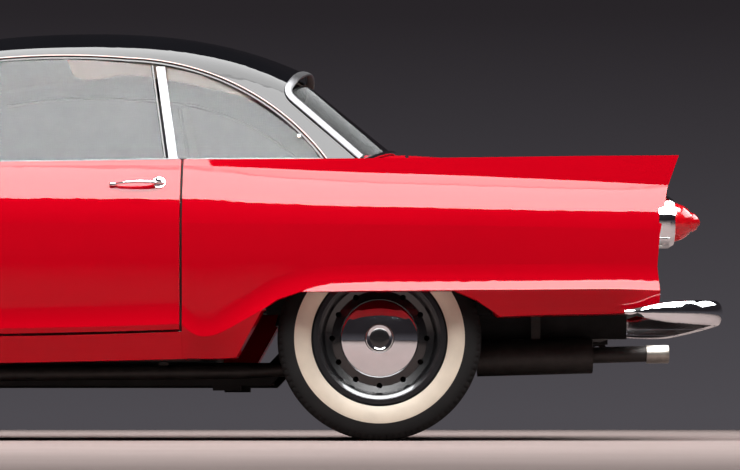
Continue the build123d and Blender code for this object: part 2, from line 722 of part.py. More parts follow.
# Nose and tail panels, bowed in plan
NOSE_HALF = 489.7
NOSE_BOW = 40
NOSE_SKIN = 24
GRILLE_Z = 505
GRILLE_H = 190
GRILLE_W = 780
with BuildPart() as nose_panel:
    with BuildSketch(Plane.XY.offset(318)):
        with BuildLine():
            for inset in (0, NOSE_SKIN):
                ThreePointArc((WING_END_X - inset, -NOSE_HALF), (WING_END_X + NOSE_BOW - inset, 0),
                              (WING_END_X - inset, NOSE_HALF))
            for side in (-NOSE_HALF, NOSE_HALF):
                Line((WING_END_X, side), (WING_END_X - NOSE_SKIN, side))
        make_face()
    extrude(amount=420)
    with BuildSketch(Plane.YZ.offset(WING_END_X)):
        with Locations((0, GRILLE_Z)):
            RectangleRounded(GRILLE_W, GRILLE_H, 70)
    extrude(amount=200, both=True, mode=Mode.SUBTRACT)
    for x, drop in ((BONNET_FRONT_X + GAP, 0), (1950, 4)):
        lid = blend(BONNETS, x)
        with BuildSketch(Plane.YZ.offset(x)):
            with BuildLine():
                draw_arch_band(NOSE_HALF, lid.centre_z - drop, lid.edge_z - drop, LID_SKIN)
            make_face()
    loft()
nose_panel.part.label = "nose_panel"
export_step(nose_panel.part, "parts/nose_panel.step")

TAIL_HALF = QUARTER_INNER - SEAT_GAP
TAIL_BOW = 26
PLATE_HOLES = 180
PLATE_HOLE_R = 3.5
PLATE_Z = 560
with BuildPart() as tail_panel:
    with BuildSketch(Plane.XY.offset(392)):
        with BuildLine():
            for inset in (0, NOSE_SKIN):
                ThreePointArc((TAIL_X + inset, -TAIL_HALF), (TAIL_X - TAIL_BOW + inset, 0),
                              (TAIL_X + inset, TAIL_HALF))
            for side in (-TAIL_HALF, TAIL_HALF):
                Line((TAIL_X, side), (TAIL_X + NOSE_SKIN, side))
        make_face()
    extrude(amount=372)
    with BuildSketch(Plane.YZ.offset(TAIL_X)):
        with Locations((-PLATE_HOLES / 2, PLATE_Z), (PLATE_HOLES / 2, PLATE_Z)):
            Circle(PLATE_HOLE_R)
    extrude(amount=80, both=True, mode=Mode.SUBTRACT)
tail_panel.part.label = "tail_panel"
export_step(tail_panel.part, "parts/tail_panel.step")

# Grille: level bars against the nose panel's back, joined by two uprights
BAR_COUNT = 7
BAR_END = GRILLE_W / 2 + 20
with BuildPart() as grille:
    pitch = (GRILLE_H - 20) / (BAR_COUNT - 1)
    bar_x = WING_END_X - NOSE_SKIN - SEAT_GAP
    end_bow = NOSE_BOW * (1 - (BAR_END / NOSE_HALF) ** 2)
    for index in range(BAR_COUNT):
        with BuildSketch(Plane.XY.offset(GRILLE_Z - GRILLE_H / 2 + 7 + index * pitch)):
            with BuildLine():
                for inset in (0, 12):
                    ThreePointArc((bar_x + end_bow - inset, -BAR_END), (bar_x + NOSE_BOW - inset, 0),
                                  (bar_x + end_bow - inset, BAR_END))
                for side in (-BAR_END, BAR_END):
                    Line((bar_x + end_bow, side), (bar_x + end_bow - 12, side))
            make_face()
        extrude(amount=6)
    for side in (-200, 200):
        with BuildSketch(Plane.XY.offset(GRILLE_Z - GRILLE_H / 2 - 10)):
            with Locations((bar_x + NOSE_BOW - 22, side)):
                Rectangle(20, 16)
        extrude(amount=GRILLE_H + 20)
grille.part.label = "grille"
export_step(grille.part, "parts/grille.step")

# Lamps: revolved about lines along X
with BuildPart() as headlamps:
    with BuildSketch(Plane.XY.offset(LAMP_Z)):
        with BuildLine():
            face = WING_END_X + 6
            rim = LAMP_Y + LAMP_R - 4
            Polyline((face + 20, LAMP_Y), (face - 70, LAMP_Y), (face - 70, LAMP_Y + 40), (face, rim),
                     (face + 9, rim - 18), (face + 15, rim - 40), (face + 19, rim - 66), close=True)
        make_face()
    revolve(axis=Axis((0, LAMP_Y, LAMP_Z), (1, 0, 0)))
    mirror(about=Plane.XZ)
headlamps.part.label = "headlamps"
export_step(headlamps.part, "parts/headlamps.step")

with BuildPart() as tail_lamps:
    with BuildSketch(Plane.XY.offset(TAIL_LAMP_Z)):
        with BuildLine():
            Polyline((TAIL_X - 146, TAIL_LAMP_Y), (TAIL_X - 24, TAIL_LAMP_Y),
                     (TAIL_X - 24, TAIL_LAMP_Y + TAIL_LAMP_R), (TAIL_X - 58, TAIL_LAMP_Y + TAIL_LAMP_R))
            ThreePointArc((TAIL_X - 58, TAIL_LAMP_Y + TAIL_LAMP_R), (TAIL_X - 88, TAIL_LAMP_Y + 54),
                          (TAIL_X - 111, TAIL_LAMP_Y + 38))
            Line((TAIL_X - 111, TAIL_LAMP_Y + 38), (TAIL_X - 112, TAIL_LAMP_Y + 33))
            ThreePointArc((TAIL_X - 112, TAIL_LAMP_Y + 33), (TAIL_X - 132, TAIL_LAMP_Y + 24),
                          (TAIL_X - 145, TAIL_LAMP_Y + 8))
            Line((TAIL_X - 145, TAIL_LAMP_Y + 8), (TAIL_X - 146, TAIL_LAMP_Y))
        make_face()
    revolve(axis=Axis((0, TAIL_LAMP_Y, TAIL_LAMP_Z), (1, 0, 0)))
    mirror(about=Plane.XZ)
tail_lamps.part.label = "tail_lamps"
export_step(tail_lamps.part, "parts/tail_lamps.step")

with BuildPart() as lamp_rims:
    with BuildSketch(Plane.XY.offset(LAMP_Z)):
        with BuildLine():
            inner = LAMP_Y + LAMP_R - 3.7
            Polyline((WING_END_X + SEAT_GAP, inner), (WING_END_X + SEAT_GAP, inner + 20),
                     (WING_END_X + 10, inner + 18), (WING_END_X + 20, inner + 6), (WING_END_X + 20, inner),
                     close=True)
        make_face()
    revolve(axis=Axis((0, LAMP_Y, LAMP_Z), (1, 0, 0)))
    with BuildSketch(Plane.XY.offset(TAIL_LAMP_Z)):
        with BuildLine():
            inner = TAIL_LAMP_Y + TAIL_LAMP_R + SEAT_GAP
            Polyline((TAIL_X - LAMP_SET, inner), (TAIL_X - LAMP_SET, inner + TAIL_RIM_W),
                     (TAIL_X - 44, inner + TAIL_RIM_W), (TAIL_X - 60, inner + 10), (TAIL_X - 60, inner),
                     close=True)
        make_face()
    revolve(axis=Axis((0, TAIL_LAMP_Y, TAIL_LAMP_Z), (1, 0, 0)))
    mirror(about=Plane.XZ)
lamp_rims.part.label = "lamp_rims"
export_step(lamp_rims.part, "parts/lamp_rims.step")

# Bumpers: blades lofted round the corners from pointed tips
Blade = namedtuple("Blade", "x y turn height depth")
BLADES = (
    Blade(0, 806, 0, 12, 8),
    Blade(100, 812, 2, 54, 30),
    Blade(200, 803, 12, 74, 40),
    Blade(276, 742, 50, 78, 44),
    Blade(304, 636, 82, 78, 44),
    Blade(308, 500, 88, 78, 44),
    Blade(309, 340, 89, 79, 44),
    Blade(310, 170, 89.6, 80, 44),
    Blade(310, 0, 90, 80, 44),
)
BUMPER_Z = 398
TIP_X = LENGTH / 2 - BLADES[-1].x - BLADES[-1].depth / 2
FRONT_BUMPER_Z = 372
BRACKET_Y = 350
RAIL_H = 74.7
RAIL_LINE = ((1930, 262), (1650, 205), (1100, 175), (-640, 175), (-830, 378), (-1130, 378),
             (-1260, 327), (-1800, 327))

with BuildPart() as rear_bumper:
    for side, rows in ((-1, BLADES), (1, BLADES[-2::-1])):
        for row in rows:
            lead = (side * math.cos(math.radians(row.turn)), math.sin(math.radians(row.turn)), 0)
            place = Plane((-TIP_X - row.x, side * row.y, BUMPER_Z), x_dir=(0, 0, 1), z_dir=lead)
            with BuildSketch(place):
                Ellipse(row.height / 2, row.depth / 2)
    loft()
    for side in (1, -1):
        with BuildSketch(Plane.YZ.offset(-TIP_X - 300)):
            with Locations((side * BRACKET_Y, BUMPER_Z - 24)):
                Rectangle(40, 30)
        extrude(amount=TIP_X + 300 + RAIL_LINE[-1][0] - SEAT_GAP)
rear_bumper.part.label = "rear_bumper"
export_step(rear_bumper.part, "parts/rear_bumper.step")

with BuildPart() as front_bumper:
    for side, rows in ((1, BLADES), (-1, BLADES[-2::-1])):
        for row in rows:
            lead = (side * math.cos(math.radians(row.turn)), -math.sin(math.radians(row.turn)), 0)
            place = Plane((TIP_X + row.x, side * row.y, FRONT_BUMPER_Z), x_dir=(0, 0, 1), z_dir=lead)
            with BuildSketch(place):
                Ellipse(row.height / 2, row.depth / 2)
    loft()
    for side in (1, -1):
        with BuildSketch(Plane.YZ.offset(TIP_X + 300)):
            with Locations((side * BRACKET_Y, 300)):
                Rectangle(40, 30)
        extrude(amount=RAIL_LINE[0][0] + SEAT_GAP - TIP_X - 300)
        with BuildSketch(Plane.XY.offset(285)):
            with Locations((TIP_X + 297, side * BRACKET_Y)):
                Rectangle(14, 40)
        extrude(amount=FRONT_BUMPER_Z - 285)
front_bumper.part.label = "front_bumper"
export_step(front_bumper.part, "parts/front_bumper.step")

# Frame: two kicked-up rails, cross-members, jacking pads and tow eyes
RAIL_Y = 320
RAIL_W = 60
CROSS_X = (560, -120, -600)
PAD_X = (450, -500)
PAD_Z = 160
EYE_R = 16
EYE_T = 14
with BuildPart() as chassis_frame:
    with BuildSketch(Plane.XZ.offset(-RAIL_Y)):
        with BuildLine():
            Polyline(*RAIL_LINE, *[(x, z + RAIL_H) for x, z in reversed(RAIL_LINE)], close=True)
        make_face()
    extrude(amount=-RAIL_W)
    with BuildSketch(Plane.XY.offset(PAD_Z)):
        for x in PAD_X:
            with Locations((x, RAIL_Y + RAIL_W / 2)):
                Rectangle(90, RAIL_W)
    extrude(amount=175 - PAD_Z)
    mirror(about=Plane.XZ)
    for x in CROSS_X:
        with BuildSketch(Plane.XZ.offset(-RAIL_Y - 4)):
            with Locations((x, 212)):
                Rectangle(60, 56)
        extrude(amount=2 * RAIL_Y + 8)
    for x, z in ((FRONT_AXLE_X, 230.7), (REAR_AXLE_X, 413), (-1740, 361)):
        with BuildSketch(Plane.XZ.offset(-RAIL_Y - 4)):
            with Locations((x, z)):
                Rectangle(70, 50)
        extrude(amount=2 * RAIL_Y + 8)
    for x, y, z in ((1800, RAIL_Y + RAIL_W / 2, 214), (-1765, -RAIL_Y - RAIL_W / 2, 306)):
        with BuildSketch(Plane.XZ.offset(-y - EYE_T / 2)):
            with Locations((x, z)):
                Circle(34)
                Circle(EYE_R, mode=Mode.SUBTRACT)
        extrude(amount=EYE_T)
chassis_frame.part.label = "chassis_frame"
export_step(chassis_frame.part, "parts/chassis_frame.step")

# Inner body: floors, seat riser and rear wheel houses
FLOOR_Z = 250
FLOOR_T = 18
REAR_FLOOR_Z = 470
BOOT_FLOOR_Z = 402
HOUSE_Y = 518
HOUSE_T = 12
HOUSE_LOW = 400
LID_BAR_Z = 730
FLOOR_LINE = ((FIREWALL_X + 18, FLOOR_Z), (-430, FLOOR_Z), (-470, REAR_FLOOR_Z), (-1290, REAR_FLOOR_Z),
              (-1320, BOOT_FLOOR_Z), (TAIL_X + NOSE_SKIN + 1, BOOT_FLOOR_Z))
with BuildPart() as inner_body:
    with BuildSketch(Plane.XZ.offset(-TAIL_HALF)):
        with BuildLine():
            Polyline(*FLOOR_LINE, *[(x, z + FLOOR_T) for x, z in reversed(FLOOR_LINE)], close=True)
        make_face()
    extrude(amount=2 * TAIL_HALF)
    with BuildSketch(Plane.XY.offset(FLOOR_Z)):
        with Locations(((FIREWALL_X + 18 + QUARTER_FRONT_X + SEAT_GAP) / 2, 0)):
            Rectangle(FIREWALL_X + 18 - QUARTER_FRONT_X - SEAT_GAP, 2 * (SILL_INNER - SEAT_GAP))
    extrude(amount=FLOOR_T)
    for side in (1, -1):
        with BuildSketch(Plane.XZ.offset(-side * HOUSE_Y)):
            with Locations((REAR_AXLE_X, TYRE_R)):
                Circle(POCKET_R + HOUSE_T)
            with Locations((REAR_AXLE_X, 0)):
                Rectangle(1000, 2 * HOUSE_LOW, mode=Mode.SUBTRACT)
        extrude(amount=-side * (TAIL_HALF - HOUSE_Y))
        with BuildSketch(Plane.XZ.offset(-side * (HOUSE_Y + HOUSE_T))):
            with Locations((REAR_AXLE_X, TYRE_R)):
                Circle(POCKET_R)
        extrude(amount=-side * (TAIL_HALF - HOUSE_Y), mode=Mode.SUBTRACT)
        with BuildSketch(Plane.XY.offset(590)):
            with Locations((LID_AXIS[0], side * 580)):
                Rectangle(24, 40)
        extrude(amount=LID_BAR_Z - 590)
        with BuildSketch(Plane.XZ.offset(-side * LID_HINGE_Y - LUG_T / 2)):
            with Locations((LID_AXIS[0], (LID_AXIS[1] + LID_BAR_Z) / 2)):
                Rectangle(2 * LIFT_EYE_R, LID_AXIS[1] - LID_BAR_Z)
            with Locations(LID_AXIS):
                Circle(LIFT_EYE_R)
                Circle(LIFT_PIN_R + STUB_FIT, mode=Mode.SUBTRACT)
        extrude(amount=LUG_T)
    with BuildSketch(Plane.XZ.offset(-600)):
        with Locations((LID_AXIS[0], LID_BAR_Z)):
            Rectangle(24, 20)
    extrude(amount=1200)
inner_body.part.label = "inner_body"
export_step(inner_body.part, "parts/inner_body.step")

# Engine block with gearbox, spring seat and half shafts
LEAF_RISE = 30
LEAF_Z = 421
LEAF_T = 22
KINGPIN_Y = FRONT_TRACK / 2 - KINGPIN_IN
with BuildPart() as engine:
    for x0, x1, half, z0, z1 in ((1435, 1885, 165, 256, 640), (1150, 1436, 125, 256, 415),
                                 (1325, 1385, 60, 414, LEAF_Z + LEAF_RISE - SEAT_GAP)):
        with BuildSketch(Plane.YZ.offset(x0)):
            with Locations((0, (z0 + z1) / 2)):
                Rectangle(2 * half, z1 - z0)
        extrude(amount=x1 - x0)
    with BuildSketch(Plane.XZ.offset(-KINGPIN_Y + 38)):
        with Locations((FRONT_AXLE_X, TYRE_R)):
            Circle(15)
    extrude(amount=2 * (KINGPIN_Y - 38))
engine.part.label = "engine"
export_step(engine.part, "parts/engine.step")

# Front suspension: kingpins between a lower arm and the ends of a cross leaf
BOSS_R = 28
BOSS_LOW = 240
BOSS_HIGH = 420
with BuildPart() as front_suspension:
    with BuildSketch(Plane.XY.offset(205)):
        with BuildLine():
            arm_y = RAIL_Y + RAIL_W + SEAT_GAP
            Polyline((FRONT_AXLE_X - 140, arm_y), (FRONT_AXLE_X + 140, arm_y),
                     (FRONT_AXLE_X + BOSS_R, KINGPIN_Y + BOSS_R), (FRONT_AXLE_X - BOSS_R, KINGPIN_Y + BOSS_R),
                     close=True)
        make_face()
        with Locations((FRONT_AXLE_X, arm_y + 60)):
            Rectangle(110, 70, mode=Mode.SUBTRACT)
    extrude(amount=BOSS_LOW - SEAT_GAP - 205)
    with BuildSketch(Plane.XY.offset(210)):
        with Locations((FRONT_AXLE_X, KINGPIN_Y)):
            Circle(KINGPIN_R)
    extrude(amount=LEAF_Z + 6 - 210)
    mirror(about=Plane.XZ)
    with BuildSketch(Plane.YZ.offset(FRONT_AXLE_X - 30)):
        with BuildLine():
            draw_arch_band(KINGPIN_Y + BOSS_R, LEAF_Z + LEAF_RISE + LEAF_T, LEAF_Z + LEAF_T, LEAF_T)
        make_face()
    extrude(amount=60)
front_suspension.part.label = "front_suspension"
export_step(front_suspension.part, "parts/front_suspension.step")

with BuildPart() as knuckle_left:
    with BuildSketch(Plane.XY.offset(BOSS_LOW)):
        with Locations((FRONT_AXLE_X, KINGPIN_Y)):
            Circle(BOSS_R)
    extrude(amount=BOSS_HIGH - BOSS_LOW)
    with BuildSketch(Plane.XZ.offset(-KINGPIN_Y - 16)):
        with Locations((FRONT_AXLE_X, TYRE_R)):
            Circle(STUB_R)
    extrude(amount=-(KINGPIN_IN + 24))
    with BuildSketch(Plane.XY.offset(270)):
        with Locations((FRONT_AXLE_X - 70, KINGPIN_Y - 6)):
            Rectangle(120, 24)
    extrude(amount=20)
    with BuildSketch(Plane.XY.offset(BOSS_LOW)):
        with Locations((FRONT_AXLE_X, KINGPIN_Y)):
            Circle(KINGPIN_R + STUB_FIT)
    extrude(amount=BOSS_HIGH - BOSS_LOW, mode=Mode.SUBTRACT)
knuckle_left.part.label = "knuckle_left"
export_step(knuckle_left.part, "parts/knuckle_left.step")

with BuildPart() as knuckle_right:
    mirror(knuckle_left.part, about=Plane.XZ)
knuckle_right.part.label = "knuckle_right"
export_step(knuckle_right.part, "parts/knuckle_right.step")

# Rear axle: a tube with stubs and a cross leaf under the frame
TUBE_R = 30
REAR_LEAF_Z = 356
with BuildPart() as rear_axle:
    with BuildSketch(Plane.XZ.offset(-REAR_TRACK / 2 + 60)):
        with Locations((REAR_AXLE_X, TYRE_R)):
            Circle(TUBE_R)
    extrude(amount=REAR_TRACK - 120)
    with BuildSketch(Plane.XZ.offset(-REAR_TRACK / 2 - 40)):
        with Locations((REAR_AXLE_X, TYRE_R)):
            Circle(STUB_R)
    extrude(amount=REAR_TRACK + 80)
    with BuildSketch(Plane.YZ.offset(REAR_AXLE_X - 30)):
        with Locations((0, REAR_LEAF_Z + 11)):
            Rectangle(1080, 22)
        with Locations((0, REAR_LEAF_Z + 26)):
            Rectangle(120, 12 - 2 * SEAT_GAP)
    extrude(amount=60)
    for side in (1, -1):
        with BuildSketch(Plane.XY.offset(TYRE_R)):
            with Locations((REAR_AXLE_X, side * 500)):
                Rectangle(50, 60)
        extrude(amount=REAR_LEAF_Z - TYRE_R + 2)
rear_axle.part.label = "rear_axle"
export_step(rear_axle.part, "parts/rear_axle.step")

# Exhaust from the gearbox's side, outside the rails, to the tail
PIPE_R = 23
EXHAUST_Y = 440
PIPE_LINE = ((1140, 60, 300), (925, 60, 300), (925, EXHAUST_Y, 292), (800, EXHAUST_Y, 207),
             (-560, EXHAUST_Y, 220), (-1310, EXHAUST_Y, 262))
SILENCER = (-1310, -1680, 262, 272)
SILENCER_R = 58
with BuildPart() as exhaust:
    with BuildLine() as pipe_path:
        FilletPolyline(*PIPE_LINE, radius=60)
    with BuildSketch(Plane(PIPE_LINE[0], z_dir=(-1, 0, 0))):
        Circle(PIPE_R)
    sweep(path=pipe_path.line)
    can_axis = Vector(SILENCER[1] - SILENCER[0], 0, SILENCER[3] - SILENCER[2])
    with BuildSketch(Plane((SILENCER[0], EXHAUST_Y, SILENCER[2]), z_dir=can_axis)):
        Circle(SILENCER_R)
    extrude(amount=can_axis.length)
    with BuildSketch(Plane((SILENCER[1] + 20, EXHAUST_Y, SILENCER[3]), z_dir=can_axis)):
        Circle(PIPE_R + 3)
    extrude(amount=260)
    for x, low, high in ((300, 215, FLOOR_Z), (-300, 218, FLOOR_Z), (-1500, 300, BOOT_FLOOR_Z)):
        with BuildSketch(Plane.XY.offset(low)):
            with Locations((x, EXHAUST_Y)):
                Rectangle(30, 12)
        extrude(amount=high - SEAT_GAP - low)
exhaust.part.label = "exhaust"
export_step(exhaust.part, "parts/exhaust.step")

with BuildPart() as fuel_tank:
    with BuildSketch(Plane.XY.offset(300)):
        with Locations((-1510, 0)):
            RectangleRounded(380, 600, 40)
    extrude(amount=BOOT_FLOOR_Z - SEAT_GAP - 300)
fuel_tank.part.label = "fuel_tank"
export_step(fuel_tank.part, "parts/fuel_tank.step")

# Inside: seats, dashboard and steering
SEAT_Y = 340
SEAT_W = 500
SEAT_LINE = ((210, 268.3), (230, 430), (180, 462), (-190, 430), (-225, 470), (-330, 795), (-395, 800),
             (-345, 430), (-300, 268.3))
REAR_SEAT_LINE = ((-490, 488.3), (-480, 570), (-520, 590), (-750, 560), (-830, 840), (-885, 850), (-890, 488.3))
DASH_LINE = ((FIREWALL_X - SEAT_GAP, 828), (570, 826), (525, 800), (528, 760), (570, 700), (600, 650),
             (FIREWALL_X - SEAT_GAP, 650))
with BuildPart() as front_seats:
    for side in (1, -1):
        with BuildSketch(Plane.XZ.offset(-side * SEAT_Y)):
            with BuildLine():
                Polyline(*SEAT_LINE, close=True)
            make_face()
        extrude(amount=SEAT_W / 2, both=True)
front_seats.part.label = "front_seats"
export_step(front_seats.part, "parts/front_seats.step")

with BuildPart() as rear_seat:
    with BuildSketch(Plane.XZ):
        with BuildLine():
            Polyline(*REAR_SEAT_LINE, close=True)
        make_face()
    extrude(amount=HOUSE_Y - 10, both=True)
rear_seat.part.label = "rear_seat"
export_step(rear_seat.part, "parts/rear_seat.step")

RAKE = math.radians(STEER_RAKE)
STEER_DOWN = Vector(math.cos(RAKE), 0, -math.sin(RAKE))
STEER_CENTRE = Vector(STEER_WHEEL_X, STEER_WHEEL_Y, STEER_WHEEL_Z)
COLUMN_R = 22
SHAFT_R = 10
HUB_LEN = 50
with BuildPart() as dashboard:
    with BuildSketch(Plane.XZ):
        with BuildLine():
            Polyline(*DASH_LINE, close=True)
        make_face()
    extrude(amount=FIREWALL_HALF - 12, both=True)
    with BuildSketch(Plane(STEER_CENTRE, z_dir=STEER_DOWN)):
        Circle(COLUMN_R + 6)
    extrude(amount=600, mode=Mode.SUBTRACT)
dashboard.part.label = "dashboard"
export_step(dashboard.part, "parts/dashboard.step")

with BuildPart() as steering_column:
    with BuildSketch(Plane(STEER_CENTRE + STEER_DOWN * (HUB_LEN + 6), z_dir=STEER_DOWN)):
        Circle(COLUMN_R)
    extrude(amount=520)
    with BuildSketch(Plane.YZ.offset(FIREWALL_X - SEAT_GAP)):
        with Locations((STEER_WHEEL_Y, 540)):
            Rectangle(400, 600)
    extrude(amount=400, mode=Mode.SUBTRACT)
    with BuildSketch(Plane(STEER_CENTRE + STEER_DOWN * 16, z_dir=STEER_DOWN)):
        Circle(SHAFT_R)
    extrude(amount=HUB_LEN)
steering_column.part.label = "steering_column"
export_step(steering_column.part, "parts/steering_column.step")

GRIP_R = 12
with BuildPart() as steering_wheel:
    wheel_plane = Plane(STEER_CENTRE, x_dir=(0, 1, 0), z_dir=STEER_DOWN)
    with BuildSketch(Plane(STEER_CENTRE, x_dir=(0, 1, 0), z_dir=Vector(0, 1, 0).cross(STEER_DOWN))):
        with Locations((STEER_WHEEL_R, 0)):
            Circle(GRIP_R)
    revolve(axis=Axis(STEER_CENTRE, STEER_DOWN))
    with BuildSketch(wheel_plane.offset(-6)):
        Rectangle(2 * STEER_WHEEL_R, 30)
    extrude(amount=12)
    with BuildSketch(wheel_plane.offset(-12)):
        Circle(40)
    extrude(amount=HUB_LEN + 12)
    with BuildSketch(wheel_plane.offset(10)):
        Circle(SHAFT_R + STUB_FIT)
    extrude(amount=HUB_LEN, mode=Mode.SUBTRACT)
steering_wheel.part.label = "steering_wheel"
export_step(steering_wheel.part, "parts/steering_wheel.step")

# Wheels and tyres, revolved about each axle. Profile columns: out from the wheel's middle, radius
BORE_R = STUB_R + STUB_FIT
WHEEL_PROFILE = (
    (8, BORE_R), (8, 60), (14, 105), (4, 150), (0, RIM_BORE_R - 4), (-56, RIM_BORE_R), (-64, 184),
    (-64, RIM_R), (-58, RIM_R), (-54, 190), (-20, 184), (54, 190), (58, RIM_R), (64, RIM_R), (64, 192),
    (54, 182), (36, 178), (22, 170), (16, 150), (26, CAP_R + 2), (34, CAP_R), (50, 84), (60, 42), (64, 30), (65, 0),
    (44, 0), (44, BORE_R),
)
TYRE_PROFILE = (
    (-58, RIM_R + SEAT_GAP), (58, RIM_R + SEAT_GAP), (TYRE_W / 2, 256), (54, TYRE_R), (-54, TYRE_R),
    (-TYRE_W / 2, 256),
)
CORNERS = {
    "front_left": (FRONT_AXLE_X, FRONT_TRACK / 2, 1),
    "front_right": (FRONT_AXLE_X, -FRONT_TRACK / 2, -1),
    "rear_left": (REAR_AXLE_X, REAR_TRACK / 2, 1),
    "rear_right": (REAR_AXLE_X, -REAR_TRACK / 2, -1),
}
for corner, (axle_x, wheel_y, side) in CORNERS.items():
    axle = Axis((axle_x, 0, TYRE_R), (0, 1, 0))
    with BuildPart() as wheel:
        with BuildSketch(Plane.XY.offset(TYRE_R)):
            with BuildLine():
                Polyline(*[(axle_x + radius, wheel_y + side * out) for out, radius in WHEEL_PROFILE], close=True)
            make_face()
        revolve(axis=axle)
        with BuildSketch(Plane.XZ.offset(-wheel_y + side * 60)):
            with Locations((axle_x, TYRE_R)):
                with PolarLocations(VENT_R, VENT_COUNT):
                    Circle(VENT_HOLE_R)
        extrude(amount=-side * 120, mode=Mode.SUBTRACT)
    wheel.part.label = "wheel_" + corner
    export_step(wheel.part, "parts/wheel_" + corner + ".step")

    with BuildPart() as tyre:
        with BuildSketch(Plane.XY.offset(TYRE_R)):
            with BuildLine():
                Polyline(*[(axle_x + radius, wheel_y + side * out) for out, radius in TYRE_PROFILE], close=True)
            make_face()
        revolve(axis=axle)
    tyre.part.label = "tyre_" + corner
    export_step(tyre.part, "parts/tyre_" + corner + ".step")
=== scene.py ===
"""Looks of a two-door finned coupe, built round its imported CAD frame.

The car's sizes are in millimetres, and those of the stage, the lights and the camera in metres.
"""

import json
import math

import bmesh
import bpy
import numpy as np
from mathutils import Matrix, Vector


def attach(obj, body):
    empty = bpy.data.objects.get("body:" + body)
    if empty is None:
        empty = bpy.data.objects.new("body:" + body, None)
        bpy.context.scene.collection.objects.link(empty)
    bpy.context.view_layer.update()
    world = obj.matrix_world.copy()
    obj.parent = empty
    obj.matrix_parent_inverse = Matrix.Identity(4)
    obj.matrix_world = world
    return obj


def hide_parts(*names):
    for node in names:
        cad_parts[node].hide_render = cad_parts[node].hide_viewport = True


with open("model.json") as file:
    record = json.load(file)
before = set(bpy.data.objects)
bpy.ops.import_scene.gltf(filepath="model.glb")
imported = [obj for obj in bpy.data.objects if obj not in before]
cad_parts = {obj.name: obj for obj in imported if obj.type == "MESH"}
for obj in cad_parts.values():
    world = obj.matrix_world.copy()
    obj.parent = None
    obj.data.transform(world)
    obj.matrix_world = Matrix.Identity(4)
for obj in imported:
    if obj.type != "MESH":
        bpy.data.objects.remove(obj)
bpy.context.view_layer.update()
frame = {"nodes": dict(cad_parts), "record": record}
nodes = frame["nodes"]
MM = 0.001
HANDS = ((1, "left"), (-1, "right"))
MERGE_GAP = 0.02 * MM
SHARP_EDGE = math.radians(38)

# Wheels
REAR_AXLE_X = -995
FRONT_AXLE_X = 1355
WHEEL_R = 320
FRONT_WHEEL_Y = 645
REAR_WHEEL_Y = 675
CAP_R = 121

# Shut lines
DOOR_FRONT_X = 646
DOOR_REAR_X = -376
QUARTER_FRONT_X = -384

# Glass
TUMBLE = 0.487
WINDSCREEN_FOOT, WINDSCREEN_BASE = (712, 872), (806, 910)
WINDSCREEN_CORNER, WINDSCREEN_SLOPE = (395, 1213), 77 / 62
REAR_FOOT, REAR_BASE = (-940, 884), (-1042, 960)
REAR_CORNER, REAR_SLOPE = (-691, 1106), -0.57
WINDOW_ARCS = (((350, 1203), (90, 1228), (-194, 1219)), ((-194, 1219), (-560, 1118), (-827, 884)))

# Side of the body: the curve under the bulge, the flare's height, the hem's tuck, and then the stations'
# x, bulge y and z, shoulder y and z, top y and z, crease z, flare, hem z
SIDE_CURVE, FLARE_RISE, HEM_TUCK = 3400, 80, 32
SIDES = np.array((
    (-1950, 778, 652, 733, 796, 729, 893, 470, 24, 400),
    (-1600, 806, 660, 747, 812, 742, 889, 468, 24, 393),
    (-1230, 822, 666, 757, 827, 752, 883, 465, 24, 377),
    (-900, 829, 669, 762, 837, 757, 880, 461, 24, 345),
    (-750, 831, 670, 764, 843, 759, 879, 446, 22, 305),
    (-650, 832, 671, 766, 848, 761, 878, 405, 20, 272),
    (-560, 832, 671, 768, 852, 763, 877, 370, 18, 261),
    (-380, 833, 672, 772, 857, 767, 876, 361, 16, 254),
    (0, 833, 672, 775, 856, 769, 870, 350, 16, 245),
    (650, 829, 672, 773, 852, 763, 864, 342, 16, 235),
    (1000, 824, 670, 768, 846, 744, 860, 340, 18, 232),
    (1355, 815, 666, 758, 838, 706, 853, 345, 20, 245),
    (1700, 796, 658, 740, 822, 674, 838, 352, 18, 285),
    (1955, 764, 645, 712, 796, 642, 815, 360, 12, 318),
), float)
# Greenhouse stations: x, base y and z, crown radius, corner radius, top z
GREENS = np.array((
    (-960, 664, 870, 1300, 100, 1108),
    (-760, 703, 872, 1700, 150, 1223),
    (-560, 722, 875, 2100, 200, 1297),
    (-300, 730, 875, 2400, 235, 1344),
    (0, 728, 871, 2500, 240, 1353),
    (400, 722, 868, 2300, 210, 1314),
    (720, 702, 866, 1900, 80, 1074),
), float)


def columns(table, x):
    """Each column of a table at the stations x: cubics through its rows, with centred slopes."""
    x = np.asarray(x, float)
    knots = table[:, 0]
    last = len(knots) - 1
    after = np.minimum(np.arange(last + 1) + 1, last)
    before = np.maximum(np.arange(last + 1) - 1, 0)
    slopes = (table[after] - table[before]) / (knots[after] - knots[before])[:, None]
    low = np.clip(np.searchsorted(knots, x, side="right") - 1, 0, last - 1)
    span = knots[low + 1] - knots[low]
    t = ((x - knots[low]) / span)[..., None]
    start = (2 * t**3 - 3 * t**2 + 1) * table[low] + (t**3 - 2 * t**2 + t) * span[..., None] * slopes[low]
    end = (3 * t**2 - 2 * t**3) * table[low + 1] + (t**3 - t**2) * span[..., None] * slopes[low + 1]
    return np.moveaxis(start + end, -1, 0)


